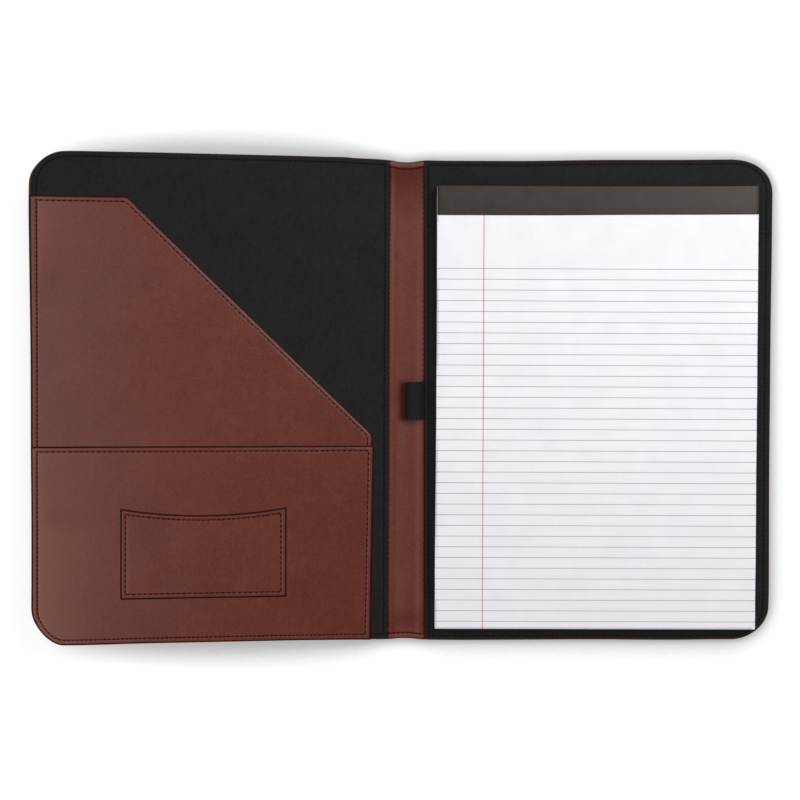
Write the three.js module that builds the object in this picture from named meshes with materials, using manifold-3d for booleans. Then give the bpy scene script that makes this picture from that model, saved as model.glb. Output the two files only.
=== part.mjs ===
// Leather portfolio, lying open: a padded back cover with a writing pad in its
// pocket, a soft spine with a pen loop, and a padded front cover with three
// pockets. Millimetres. +X runs from the front cover across to the back cover,
// +Y from the foot of the pages to their head, +Z up. The origin is on the
// table, under the middle of the open portfolio.
import * as THREE from "three";
import { mergeVertices } from "three/addons/utils/BufferGeometryUtils.js";
import Module from "manifold-3d";

const wasm = await Module();
wasm.setup();

// ---- Driving dimensions ----------------------------------------------------
// Covers
const COVER_HEIGHT = 325.2; // 12.8 in, head to foot
const COVER_WIDTH = 235.4; // fold line to outer edge
const SPINE_WIDTH = 24.2; // between the two fold lines
const FRONT_LIFT_DEG = 7.1; // how far the stiff fold holds the front cover off the table
const GROOVE = 0.3; // clearance on each side of a fold line

// Layers of a cover, bottom to top
const SKIN = 0.9; // leather outside
const RIM_TOP = 4.0; // height of the turned edge
const RIM_WIDTH = 1.3;
const PADDING = [1.2, 2.4];
const BOARD = [2.7, 4.0];
const LINING = [4.3, 4.9];
const FOLD_Z = 4.9; // the folds turn in the plane of the lining's face
const BOARD_INSET = 7.0;
const BACK_BOARD_GAP = 7.5; // fold line to board
const FRONT_BOARD_GAP = 31.0; // the front cover bends between its board and the fold

// Corners: how far the curve runs along each edge, and how full it is
const FRONT_HEAD_CORNER = { along: 22, down: 22, full: 0.552 };
const FRONT_FOOT_CORNER = { along: 20.5, down: 25, full: 0.45 };
const BACK_HEAD_CORNER = { along: 28, down: 24, full: 0.63 };
const BACK_FOOT_CORNER = { along: 25, down: 23, full: 0.55 };

// Spine
const SPINE_END_DIP = 1.9; // the strip's ends are hollowed
const SPINE_END = 2.6; // the ends stop this far inside the covers' height
const SPINE_SKIN = 0.9;
const SPINE_PADDING = [1.2, 3.4];
const SPINE_LINING = [3.7, 4.4];

// Pen loop: flat woven elastic, sewn in a low arch
const LOOP_LEFT = -0.6;
const LOOP_RIGHT = 8.8; // clear of the hinge seam when the spine is folded up
const LOOP_Y = [-13.3, 12.2];
const LOOP_Z = [4.9, 11.3];
const LOOP_WALL = 0.8;
const LOOP_TAB = { x: [12.7, 18.4], z: [3.2, 3.9] };

// Pad pocket on the back cover
const PAD_POCKET = [6.8, 7.4];
const PAD_POCKET_MOUTH_Y = 115.9;
const PAD_POCKET_HEM = 4.0; // width of the sewn margin that stands on the lining

// Writing pad, letter size
const PAD_WIDTH = 215.9; // 8.5 in
const PAD_LENGTH = 298.45; // 11.75 in
const PAD_CENTRE = [128.4, -4.85];
const PAD_BOARD = [5.8, 6.5];
const PAD_SHEETS = [7.9, 12.6];
const TOP_SHEET = [12.9, 13.1];
const BINDING_DEPTH = 19.5;
const BINDING_TAPE = 0.3;
const STAPLE_X = [-78, 0, 78]; // from the pad's middle
const STAPLE_CROWN = 12.0;
const STAPLE_WIRE = 0.5;

// Front cover pockets
const DOCUMENT_POCKET = [5.2, 5.9];
const LOWER_POCKET = [6.2, 6.9];
const CARD_POCKET = [7.2, 7.9];
const POCKET_RIGHT_X = -23.0;
const DOCUMENT_MOUTH_Y = 133.1;
const DOCUMENT_SHOULDER_X = -185.1; // where the mouth turns down the slant
const DOCUMENT_SLANT_END_Y = -23.1;
const LOWER_MOUTH_Y = -31.5;
const CARD_X = [-189.0, -81.4];
const CARD_Y = [-131.4, -71.6];
const CARD_DIP = 6.0; // thumb curve in the card pocket's mouth

// Sewing thread
const THREAD_WIDTH = 0.6;
const THREAD_HEIGHT = 0.3;
const THREAD_LIFT = 0.3; // clear of the face below, on the lifted front cover
const BACK_THREAD_LIFT = 0.1;
const EDGE_SEAM_INSET = 4.1;
const HINGE_SEAM_INSET = 2.6;

const FOLD_X = SPINE_WIDTH / 2;
const LIFT = THREE.MathUtils.degToRad(FRONT_LIFT_DEG);
const HALF_H = COVER_HEIGHT / 2;
const RIGHT_X = FOLD_X + COVER_WIDTH;
// the lifted front cover's furthest point is the bottom edge of its skin
const LEFT_X =
  -FOLD_X - COVER_WIDTH * Math.cos(LIFT) - FOLD_Z * Math.sin(LIFT);
const CENTRE_X = (RIGHT_X + LEFT_X) / 2;

// ---- Materials -------------------------------------------------------------
const material = (color, roughness, metalness = 0) =>
  new THREE.MeshStandardMaterial({ color, roughness, metalness });
const LEATHER = () => material(0x6e3a33, 0.5);
const LINING_CLOTH = () => material(0x242324, 0.85);
const THREAD = () => material(0x4a1c16, 0.7);
const BLACK_THREAD = () => material(0x161516, 0.75);
const FOAM = () => material(0xb9b4aa, 0.95);
const CHIPBOARD = () => material(0x8f8577, 0.9);
const ELASTIC = () => material(0x1c1c1e, 0.8);
const PAPER = () => material(0xf4f3f6, 0.85);
const TAPE = () => material(0x4c4643, 0.55);
const STEEL = () => material(0xb8b9bb, 0.35, 1);

// ---- Solid helpers ---------------------------------------------------------
function solid(geometry) {
  const g = geometry.clone();
  g.deleteAttribute("normal");
  g.deleteAttribute("uv");
  const merged = mergeVertices(g, 1e-4);
  return new wasm.Manifold(
    new wasm.Mesh({
      numProp: 3,
      vertProperties: new Float32Array(merged.attributes.position.array),
      triVerts: new Uint32Array(merged.index.array),
    }),
  );
}

function geometryOf(manifold) {
  const m = manifold.getMesh();
  const g = new THREE.BufferGeometry();
  const p = new Float32Array((m.vertProperties.length / m.numProp) * 3);
  for (let i = 0; i * 3 < p.length; i++)
    p.set(m.vertProperties.subarray(i * m.numProp, i * m.numProp + 3), i * 3);
  g.setAttribute("position", new THREE.BufferAttribute(p, 3));
  g.setIndex(new THREE.BufferAttribute(new Uint32Array(m.triVerts), 1));
  g.computeVertexNormals();
  return g;
}

// A flat piece: an outline of [x, y] points between two heights.
function plate(points, z) {
  const shape = new THREE.Shape(points.map(([x, y]) => new THREE.Vector2(x, y)));
  const g = new THREE.ExtrudeGeometry(shape, {
    depth: z[1] - z[0],
    bevelEnabled: false,
    steps: 1,
  });
  g.translate(0, 0, z[0]);
  return g;
}

const box = (x, y, z) =>
  plate(
    [
      [x[0], y[0]],
      [x[1], y[0]],
      [x[1], y[1]],
      [x[0], y[1]],
    ],
    z,
  );

const union = (...geometries) =>
  geometries.map(solid).reduce((a, b) => a.add(b));

// The points of a rounded corner from `start` round to `end`.
function corner(start, apex, end, full) {
  const toward = (p) =>
    new THREE.Vector2(
      p[0] + (apex[0] - p[0]) * full,
      p[1] + (apex[1] - p[1]) * full,
    );
  return new THREE.CubicBezierCurve(
    new THREE.Vector2(...start),
    toward(start),
    toward(end),
    new THREE.Vector2(...end),
  )
    .getPoints(10)
    .map((v) => [v.x, v.y]);
}

// The outer run of a cover: from the fold at the head, round the two outer
// corners, to the fold at the foot. side is 1 for the back cover, -1 for the front.
function coverRun(side, inset, foldInset) {
  const head = side > 0 ? BACK_HEAD_CORNER : FRONT_HEAD_CORNER;
  const foot = side > 0 ? BACK_FOOT_CORNER : FRONT_FOOT_CORNER;
  const w = COVER_WIDTH - inset;
  const h = HALF_H - inset;
  const cut = (c) => [Math.max(c.along - inset, 2), Math.max(c.down - inset, 2)];
  const [ha, hd] = cut(head);
  const [fa, fd] = cut(foot);
  const local = [
    [foldInset, h],
    ...corner([w - ha, h], [w, h], [w, h - hd], head.full),
    ...corner([w, -h + fd], [w, -h], [w - fa, -h], foot.full),
    [foldInset, -h],
  ];
  return local.map(([x, y]) => [side * (FOLD_X + x), y]);
}

// A ribbon of thread along a path, its corners mitred.
function strip(path, z0, z1) {
  const n = path.length;
  const left = [];
  const right = [];
  path.forEach((p, i) => {
    const a = path[Math.max(i - 1, 0)];
    const b = path[Math.min(i + 1, n - 1)];
    const dir = (s, e) => {
      const l = Math.hypot(e[0] - s[0], e[1] - s[1]);
      return [(e[0] - s[0]) / l, (e[1] - s[1]) / l];
    };
    const d1 = i > 0 ? dir(a, p) : dir(p, b);
    const d2 = i < n - 1 ? dir(p, b) : d1;
    const nx = -(d1[1] + d2[1]) / 2;
    const ny = (d1[0] + d2[0]) / 2;
    const k = THREAD_WIDTH / 2 / (nx * nx + ny * ny);
    left.push([p[0] + nx * k, p[1] + ny * k]);
    right.push([p[0] - nx * k, p[1] - ny * k]);
  });
  return plate([...left, ...right.reverse()], [z0, z1]);
}

// Thread that climbs from one layer to the next: runs = [{path, on}], where
// `on` is the face the thread lies on. A riser joins each run to the next.
function threadRuns(runs, lift = THREAD_LIFT) {
  const level = (on) => [on + lift, on + lift + THREAD_HEIGHT];
  const parts = [];
  runs.forEach((run, i) => {
    const [z0, z1] = level(run.on);
    parts.push(strip(run.path, z0, z1));
    if (i === 0) return;
    const before = runs[i - 1];
    const [a0] = level(Math.min(before.on, run.on));
    const [, b1] = level(Math.max(before.on, run.on));
    const low = before.on < run.on ? before : run; // the riser stands on the lower layer
    const end = low === before ? low.path[low.path.length - 1] : low.path[0];
    const next =
      low === before ? low.path[low.path.length - 2] : low.path[1];
    const l = Math.hypot(next[0] - end[0], next[1] - end[1]);
    const back = [
      end[0] + ((next[0] - end[0]) / l) * 0.6,
      end[1] + ((next[1] - end[1]) / l) * 0.6,
    ];
    parts.push(strip([end, back], a0, b1));
  });
  return geometryOf(union(...parts));
}

// Splits a run of points where it crosses the line y = at (or x = at).
function splitAt(path, axis, at) {
  for (let i = 1; i < path.length; i++) {
    const a = path[i - 1];
    const b = path[i];
    if ((a[axis] - at) * (b[axis] - at) < 0) {
      const t = (at - a[axis]) / (b[axis] - a[axis]);
      const m = [a[0] + (b[0] - a[0]) * t, a[1] + (b[1] - a[1]) * t];
      return [
        [...path.slice(0, i), m],
        [m, ...path.slice(i)],
      ];
    }
  }
  throw new Error("the run does not reach " + at);
}

function mesh(name, geometry, mat) {
  const m = new THREE.Mesh(geometry, mat);
  m.name = name;
  return m;
}

// ---- A cover's own layers --------------------------------------------------
function coverOutline(side, inset, foldInset) {
  return coverRun(side, inset, foldInset);
}

// Leather outside: a sheet with its edge turned up on the three outer sides.
function skin(side) {
  const outside = solid(plate(coverOutline(side, 0, GROOVE), [0, RIM_TOP]));
  const hollow = solid(
    plate(coverOutline(side, RIM_WIDTH, -5), [SKIN, RIM_TOP + 5]),
  );
  return geometryOf(outside.subtract(hollow));
}

function layer(side, z, inset, foldInset) {
  return plate(coverOutline(side, inset, foldInset), z);
}

// ---- Back cover ------------------------------------------------------------
const backCover = new THREE.Group();
backCover.add(
  mesh("back_outer_skin", skin(1), LEATHER()),
  mesh("back_padding", layer(1, PADDING, RIM_WIDTH + 0.4, 1.0), FOAM()),
  mesh(
    "back_board",
    layer(1, BOARD, BOARD_INSET, BACK_BOARD_GAP),
    CHIPBOARD(),
  ),
  mesh("back_lining", layer(1, LINING, 0.7, 0.5), LINING_CLOTH()),
  mesh(
    "pen_loop_tab",
    box(LOOP_TAB.x, [LOOP_Y[0] + 0.2, LOOP_Y[1] - 0.2], LOOP_TAB.z),
    ELASTIC(),
  ),
);

// Pad pocket: a full-width panel, sewn down at both sides and the foot, open at
// the head, where the pad's cardboard back slides in.
{
  const below = (y) =>
    solid(box([-400, 400], [-400, y], [LINING[1] + 0.3, 40]));
  const panel = solid(
    plate(coverOutline(1, 1.0, 0.7), [LINING[1] + 0.3, PAD_POCKET[1]]),
  ).intersect(below(PAD_POCKET_MOUTH_Y));
  const room = solid(
    box(
      [FOLD_X + 0.7 + PAD_POCKET_HEM, RIGHT_X - 1.0 - PAD_POCKET_HEM],
      [-HALF_H + 1.0 + PAD_POCKET_HEM, 400],
      [0, PAD_POCKET[0]],
    ),
  );
  backCover.add(
    mesh("pad_pocket", geometryOf(panel.subtract(room)), LINING_CLOTH()),
  );
}

// Seams of the back cover
{
  const run = coverRun(1, EDGE_SEAM_INSET, HINGE_SEAM_INSET + 1.6);
  const [overLining, overPocket] = splitAt(
    run,
    1,
    PAD_POCKET_MOUTH_Y + 0.6,
  );
  backCover.add(
    mesh(
      "back_edge_thread",
      threadRuns([
        { path: overLining, on: LINING[1] },
        { path: overPocket, on: PAD_POCKET[1] },
      ], BACK_THREAD_LIFT),
      BLACK_THREAD(),
    ),
  );
  const x = FOLD_X + HINGE_SEAM_INSET + 0.2;
  const ends = HALF_H - EDGE_SEAM_INSET;
  backCover.add(
    mesh(
      "back_hinge_thread",
      threadRuns([
        {
          path: [
            [x, ends],
            [x, PAD_POCKET_MOUTH_Y + 0.6],
          ],
          on: LINING[1],
        },
        {
          path: [
            [x, PAD_POCKET_MOUTH_Y + 0.6],
            [x, -ends],
          ],
          on: PAD_POCKET[1],
        },
      ], BACK_THREAD_LIFT),
      BLACK_THREAD(),
    ),
  );
}

// ---- Writing pad -----------------------------------------------------------
const pad = new THREE.Group();
const padLeft = PAD_CENTRE[0] - PAD_WIDTH / 2;
const padRight = PAD_CENTRE[0] + PAD_WIDTH / 2;
const padHead = PAD_CENTRE[1] + PAD_LENGTH / 2;
const padFoot = PAD_CENTRE[1] - PAD_LENGTH / 2;
const bindingEdge = padHead - BINDING_DEPTH;
const stapleY = padHead - 9;
{
  const holes = [];
  for (const sx of STAPLE_X)
    for (const side of [-1, 1]) {
      const x =
        PAD_CENTRE[0] + sx + side * (STAPLE_CROWN / 2 - STAPLE_WIRE / 2);
      holes.push(
        solid(
          box(
            [x - 0.55, x + 0.55],
            [stapleY - 0.55, stapleY + 0.55],
            [0, 40],
          ),
        ),
      );
    }
  const drilled = (s) => holes.reduce((a, h) => a.subtract(h), s);

  pad.add(
    mesh(
      "pad_backboard",
      geometryOf(
        drilled(solid(box([padLeft, padRight], [padFoot, padHead], PAD_BOARD))),
      ),
      CHIPBOARD(),
    ),
  );

  // The block of sheets lies on the pocket panel, and comes down to the
  // cardboard at the binding, where its top is pressed down under the tape.
  const press = 0.45;
  const block = solid(
    box([padLeft, padRight], [padFoot, padHead], PAD_SHEETS),
  )
    .add(
      solid(
        box(
          [padLeft, padRight],
          [bindingEdge + 1, padHead],
          [PAD_BOARD[1] + 0.1, PAD_SHEETS[0] + 1],
        ),
      ),
    )
    .subtract(
      solid(
        box(
          [padLeft - 5, padRight + 5],
          [stapleY - 2, padHead + 5],
          [PAD_SHEETS[1] - press, 40],
        ),
      ),
    );
  pad.add(mesh("pad_sheets", geometryOf(drilled(block)), PAPER()));

  // Binding tape: over the head of the block and under the cardboard.
  const o = BINDING_TAPE;
  const back = padHead + 0.3 + o;
  const tape = [
    [bindingEdge, TOP_SHEET[0]],
    [padHead + 0.3, TOP_SHEET[0]],
    [padHead + 0.3, PAD_BOARD[0] - 0.4],
    [padHead - 8, PAD_BOARD[0] - 0.4],
    [padHead - 8, PAD_BOARD[0] - 0.6],
    [back, PAD_BOARD[0] - 0.6],
    [back, TOP_SHEET[0] + o],
    [bindingEdge, TOP_SHEET[0] + o],
  ];
  const g = plate(
    tape.map(([y, z]) => [y, z]),
    [0, PAD_WIDTH],
  );
  // the section was drawn in (y, z): stand it up and run it along x
  g.applyMatrix4(
    new THREE.Matrix4().set(0, 0, 1, padLeft, 1, 0, 0, 0, 0, 1, 0, 0, 0, 0, 0, 1),
  );
  pad.add(mesh("pad_binding", g, TAPE()));

  // Staples through the block, clenched under the cardboard.
  const names = ["left", "middle", "right"];
  STAPLE_X.forEach((sx, i) => {
    const w = STAPLE_CROWN / 2;
    const t = STAPLE_WIRE;
    const top = PAD_SHEETS[1] - press + 0.05 + 0.35;
    const foot = PAD_BOARD[0] - 0.35;
    const section = [
      [-w, top],
      [-w, foot],
      [-w + 3.2, foot],
      [-w + 3.2, foot + 0.28],
      [-w + t, foot + 0.28],
      [-w + t, top - 0.35],
      [w - t, top - 0.35],
      [w - t, foot + 0.28],
      [w - 3.2, foot + 0.28],
      [w - 3.2, foot],
      [w, foot],
      [w, top],
    ];
    const s = plate(section, [-t / 2, t / 2]);
    s.rotateX(Math.PI / 2);
    const m = mesh("staple_" + names[i], s, STEEL());
    m.position.set(PAD_CENTRE[0] + sx, stapleY, 0);
    pad.add(m);
  });
}

// The top sheet turns over the binding on its own.
const topSheet = mesh(
  "top_sheet",
  box([padLeft + 0.2, padRight - 0.2], [padFoot, bindingEdge - 0.4], TOP_SHEET),
  PAPER(),
);

// ---- Spine -----------------------------------------------------------------
const spine = new THREE.Group();

// The strip between the folds, its two ends hollowed.
function spineStrip(halfWidth, end, dip) {
  const hollow = (sign) => {
    const curve = new THREE.QuadraticBezierCurve(
      new THREE.Vector2(-halfWidth * sign, end * sign),
      new THREE.Vector2(0, (end - 2 * dip) * sign),
      new THREE.Vector2(halfWidth * sign, end * sign),
    );
    return curve.getPoints(12).map((v) => [v.x, v.y]);
  };
  return [...hollow(1), ...hollow(-1)];
}
{
  const hw = FOLD_X - GROOVE;
  const end = HALF_H - SPINE_END + 1.6;
  spine.add(
    mesh(
      "spine_outer_skin",
      plate(spineStrip(hw, end, SPINE_END_DIP), [0, SPINE_SKIN]),
      LEATHER(),
    ),
    mesh(
      "spine_padding",
      plate(spineStrip(hw - 1.0, end - 5, SPINE_END_DIP), SPINE_PADDING),
      FOAM(),
    ),
    mesh(
      "spine_inner_strip",
      plate(spineStrip(hw, end, SPINE_END_DIP), SPINE_LINING),
      LEATHER(),
    ),
  );
  for (const [name, y] of [
    ["spine_head_thread", 156.6],
    ["spine_foot_thread", -157.6],
  ]) {
    const s = Math.sign(y);
    const path = new THREE.QuadraticBezierCurve(
      new THREE.Vector2(-hw + 0.6, y + s * 1.3),
      new THREE.Vector2(0, y - s * 1.5),
      new THREE.Vector2(hw - 0.6, y + s * 1.3),
    )
      .getPoints(10)
      .map((v) => [v.x, v.y]);
    spine.add(
      mesh(
        name,
        threadRuns([{ path, on: SPINE_LINING[1] }]),
        THREAD(),
      ),
    );
  }

  // Pen loop: a band of elastic, flat below and arched above.
  const arch = (inset) => {
    const l = LOOP_LEFT + inset;
    const r = LOOP_RIGHT - inset;
    const b = LOOP_Z[0] + inset;
    const t = LOOP_Z[1] - inset;
    const round = Math.min((t - b) * 0.62, 3.6);
    const s = new THREE.Path();
    s.moveTo(l + 0.8, b);
    s.lineTo(r - 0.8, b);
    s.quadraticCurveTo(r, b, r, b + 0.9);
    s.lineTo(r, t - round);
    s.quadraticCurveTo(r, t, r - round * 1.1, t);
    s.lineTo(l + round * 1.1, t);
    s.quadraticCurveTo(l, t, l, t - round);
    s.lineTo(l, b + 0.9);
    s.quadraticCurveTo(l, b, l + 0.8, b);
    return s.getPoints(6);
  };
  const outer = new THREE.Shape(arch(0));
  outer.holes.push(new THREE.Path(arch(LOOP_WALL)));
  const loop = new THREE.ExtrudeGeometry(outer, {
    depth: LOOP_Y[1] - LOOP_Y[0],
    bevelEnabled: false,
    steps: 1,
  });
  loop.rotateX(Math.PI / 2);
  loop.translate(0, LOOP_Y[1], 0);
  spine.add(mesh("pen_loop", loop, ELASTIC()));
}

// ---- Front cover -----------------------------------------------------------
// Built flat in the same coordinates, then turned up about the left fold line.
const frontCover = new THREE.Group();
{
  const pieces = [];
  const add = (name, geometry, mat) => {
    geometry.translate(FOLD_X, 0, -FOLD_Z);
    pieces.push(mesh(name, geometry, mat));
  };
  add("front_outer_skin", skin(-1), LEATHER());
  add("front_padding", layer(-1, PADDING, RIM_WIDTH + 0.4, 1.0), FOAM());
  add(
    "front_board",
    layer(-1, BOARD, BOARD_INSET, FRONT_BOARD_GAP),
    CHIPBOARD(),
  );
  add("front_lining", layer(-1, LINING, 0.7, 0.5), LINING_CLOTH());

  // Pockets: flat panels, cut by the cover's own outline where they are sewn
  // into its edge.
  const cutByCover = (outline, z) =>
    geometryOf(
      solid(plate(coverOutline(-1, 0.8, 0.5), z)).intersect(
        solid(plate(outline, [z[0] - 1, z[1] + 1])),
      ),
    );
  add(
    "document_pocket",
    cutByCover(
      [
        [-400, DOCUMENT_MOUTH_Y],
        [DOCUMENT_SHOULDER_X, DOCUMENT_MOUTH_Y],
        [POCKET_RIGHT_X, DOCUMENT_SLANT_END_Y],
        [POCKET_RIGHT_X, -400],
        [-400, -400],
      ],
      DOCUMENT_POCKET,
    ),
    LEATHER(),
  );
  add(
    "lower_pocket",
    cutByCover(
      [
        [-400, LOWER_MOUTH_Y],
        [POCKET_RIGHT_X, LOWER_MOUTH_Y],
        [POCKET_RIGHT_X, -400],
        [-400, -400],
      ],
      LOWER_POCKET,
    ),
    LEATHER(),
  );

  // Card pocket with a thumb curve
  const thumb = (y, dip, inset) =>
    new THREE.QuadraticBezierCurve(
      new THREE.Vector2(CARD_X[0] + inset, y),
      new THREE.Vector2((CARD_X[0] + CARD_X[1]) / 2, y - 2 * dip),
      new THREE.Vector2(CARD_X[1] - inset, y),
    )
      .getPoints(16)
      .map((v) => [v.x, v.y]);
  add(
    "card_pocket",
    plate(
      [
        ...thumb(CARD_Y[1], CARD_DIP, 0),
        [CARD_X[1], CARD_Y[0]],
        [CARD_X[0], CARD_Y[0]],
      ],
      CARD_POCKET,
    ),
    LEATHER(),
  );

  // Seams of the front cover
  const run = coverRun(-1, EDGE_SEAM_INSET, HINGE_SEAM_INSET + 1.6);
  const [head, rest] = splitAt(run, 1, DOCUMENT_MOUTH_Y + 0.6);
  const [side, rest2] = splitAt(rest, 1, LOWER_MOUTH_Y + 0.6);
  const [foot, tail] = splitAt(rest2, 0, POCKET_RIGHT_X + 0.6);
  add(
    "front_edge_thread",
    threadRuns([
      { path: head, on: LINING[1] },
      { path: side, on: DOCUMENT_POCKET[1] },
      { path: foot, on: LOWER_POCKET[1] },
      { path: tail, on: LINING[1] },
    ]),
    THREAD(),
  );
  const ends = HALF_H - EDGE_SEAM_INSET;
  const hx = -FOLD_X - HINGE_SEAM_INSET;
  add(
    "front_hinge_thread",
    threadRuns([
      {
        path: [
          [hx, ends],
          [hx, -ends],
        ],
        on: LINING[1],
      },
    ]),
    BLACK_THREAD(),
  );
  const inX = POCKET_RIGHT_X - 2.9;
  const leftX = -FOLD_X - COVER_WIDTH + EDGE_SEAM_INSET + 1.4;
  const mouth = 2.8;
  add(
    "document_pocket_thread",
    threadRuns([
      {
        path: [
          [leftX, DOCUMENT_MOUTH_Y - mouth],
          [DOCUMENT_SHOULDER_X - 1.2, DOCUMENT_MOUTH_Y - mouth],
          [inX, DOCUMENT_SLANT_END_Y - 1.3],
          [inX, LOWER_MOUTH_Y + 0.8],
        ],
        on: DOCUMENT_POCKET[1],
      },
    ]),
    THREAD(),
  );
  add(
    "lower_pocket_thread",
    threadRuns([
      {
        path: [
          [leftX, LOWER_MOUTH_Y - 2.5],
          [inX, LOWER_MOUTH_Y - 2.5],
          [inX, -ends + 1.4],
        ],
        on: LOWER_POCKET[1],
      },
    ]),
    THREAD(),
  );
  add(
    "card_pocket_thread",
    threadRuns([
      {
        path: [
          [CARD_X[0] + 2.7, CARD_Y[1] - 3.6],
          [CARD_X[0] + 2.7, CARD_Y[0] + 2.7],
          [CARD_X[1] - 2.7, CARD_Y[0] + 2.7],
          [CARD_X[1] - 2.7, CARD_Y[1] - 3.6],
        ],
        on: CARD_POCKET[1],
      },
    ]),
    THREAD(),
  );
  add(
    "card_mouth_thread",
    threadRuns([
      {
        path: thumb(CARD_Y[1] - 2.4, CARD_DIP, 4.0),
        on: CARD_POCKET[1],
      },
    ]),
    THREAD(),
  );
  frontCover.add(...pieces);
}
frontCover.position.set(-FOLD_X, 0, FOLD_Z);
frontCover.rotation.y = LIFT;

// ---- Assembly --------------------------------------------------------------
const portfolio = new THREE.Group();
portfolio.add(backCover, pad, topSheet, spine, frontCover);
portfolio.position.x = -CENTRE_X;

export default portfolio;
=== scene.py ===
# Visual model of a leather portfolio that lies open: padded covers, a soft spine
# with an elastic pen loop, leather pockets and a ruled writing pad.
# Lengths are written in millimetres, in the plan of the open portfolio with the
# middle of the spine at x = 0, and go to metres in the row frame when a mesh is
# made. The front cover is built flat and then turned up about its fold.
import math

import bpy
import numpy as np
from mathutils import Matrix
from mathutils.geometry import delaunay_2d_cdt


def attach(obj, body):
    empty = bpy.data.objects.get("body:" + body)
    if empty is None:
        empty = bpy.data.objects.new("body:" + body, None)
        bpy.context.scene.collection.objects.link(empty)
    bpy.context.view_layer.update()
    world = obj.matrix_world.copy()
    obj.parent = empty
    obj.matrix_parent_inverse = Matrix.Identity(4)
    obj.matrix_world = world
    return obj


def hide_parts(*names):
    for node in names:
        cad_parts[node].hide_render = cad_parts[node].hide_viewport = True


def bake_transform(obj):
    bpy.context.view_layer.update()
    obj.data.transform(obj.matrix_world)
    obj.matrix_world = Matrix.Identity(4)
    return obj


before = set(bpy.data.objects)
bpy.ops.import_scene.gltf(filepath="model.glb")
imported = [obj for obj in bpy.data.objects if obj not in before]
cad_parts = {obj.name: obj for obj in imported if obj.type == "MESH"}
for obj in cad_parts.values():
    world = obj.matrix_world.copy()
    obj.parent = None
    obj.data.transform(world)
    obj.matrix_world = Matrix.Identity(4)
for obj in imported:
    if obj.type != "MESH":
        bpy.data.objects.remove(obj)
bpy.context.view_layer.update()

# ---- Plan of the portfolio (mm) ------------------------------------------------
SHIFT_X = -0.5997  # from the plan to the row frame
HALF_H = 162.6
OUT_R = 247.5  # outer edges of the two covers
OUT_L = -247.5
FOLD = 12.1
FOLD_Z = 4.9
LIFT = math.radians(7.1)
# corners: cut along the head or foot, cut along the side, fullness
BACK_HEAD = (28.0, 24.0, 0.63)
BACK_FOOT = (25.0, 23.0, 0.55)
FRONT_HEAD = (22.0, 22.0, 0.552)
FRONT_FOOT = (20.5, 25.0, 0.45)

PAD_L, PAD_R = 20.45, 236.35
PAD_FOOT, PAD_HEAD = -154.075, 144.375
TAPE_Y = 124.875
LINE_FIRST, LINE_PITCH, LINE_COUNT = 88.5, 7.195, 34
MARGIN_X = 51.9

DOC_MOUTH, DOC_SHOULDER, DOC_SLANT_END = 132.55, -185.8, -23.8
LOW_MOUTH = -31.75
POCKET_R = -23.4
CARD_X = (-189.0, -81.4)
CARD_Y = (-131.4, -73.0)
CARD_DIP = 4.6
POCKET_MOUTH = 115.9

rng = np.random.default_rng(7)


def smooth(a, b, x):
    t = np.clip((np.asarray(x, float) - a) / (b - a), 0.0, 1.0)
    return t * t * (3 - 2 * t)


def waves(x, y, seed, scale, n=6):
    """Gentle, repeatable unevenness between about -1 and 1, its waves about `scale` mm long."""
    r = np.random.default_rng(seed)
    out = np.zeros(np.broadcast(x, y).shape)
    for _ in range(n):
        a = r.uniform(0, 2 * math.pi)
        k = 2 * math.pi / (scale * r.uniform(0.7, 1.6))
        out = out + np.sin(k * (x * math.cos(a) + y * math.sin(a)) + r.uniform(0, 6.28))
    return out / n * 1.6


# ---- Camera (first, with no cords to place) -------------------------------------
def rot(axis, a):
    return Matrix.Rotation(a, 4, axis)


cam_data = bpy.data.cameras.new("camera")
cam_data.sensor_width = 36.0
cam_data.lens = 59.48
cam_data.clip_start = 0.01
cam = bpy.data.objects.new("camera", cam_data)
bpy.context.scene.collection.objects.link(cam)
cam.matrix_world = (
    Matrix.Translation((-0.012432, 0.018893, 0.900))
    @ rot("X", -0.0211965)
    @ rot("Y", -0.0088172)
    @ rot("Z", 0.0040167)
)
bpy.context.scene.camera = cam


# ---- Front cover's turn: a soft bend about the fold ------------------------------
BEND_R = 3.5
_bx = np.linspace(-FOLD + BEND_R, -FOLD - BEND_R, 141)
_phi = LIFT * smooth(0, 1, (_bx[0] - _bx) / (2 * BEND_R))
_ds = (_bx[0] - _bx[-1]) / 140
_mid = (_phi[1:] + _phi[:-1]) / 2
_nx = np.concatenate([[0.0], -np.cumsum(np.cos(_mid)) * _ds]) + _bx[0]
_nz = np.concatenate([[0.0], np.cumsum(np.sin(_mid)) * _ds]) + FOLD_Z
_t = smooth(0, 1, np.linspace(0, 1, 141))
_nx = _nx + (-FOLD - BEND_R * math.cos(LIFT) - _nx[-1]) * _t
_nz = _nz + (FOLD_Z + BEND_R * math.sin(LIFT) - _nz[-1]) * _t


def lift(p):
    """Points of the flat front cover, turned up about the fold."""
    x, y, z = p[:, 0], p[:, 1], p[:, 2]
    s = _bx[0] - x  # how far past the start of the bend
    u = np.clip(s / (2 * BEND_R), 0, 1) * 140
    i = np.arange(141)
    nx, nz, ph = np.interp(u, i, _nx), np.interp(u, i, _nz), np.interp(u, i, _phi)
    before = np.minimum(s, 0)
    after = np.maximum(s - 2 * BEND_R, 0)
    nx = nx - before - after * math.cos(LIFT)
    nz = nz + after * math.sin(LIFT)
    dz = z - FOLD_Z
    return np.stack([nx + dz * np.sin(ph), y, nz + dz * np.cos(ph)], 1)


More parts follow.
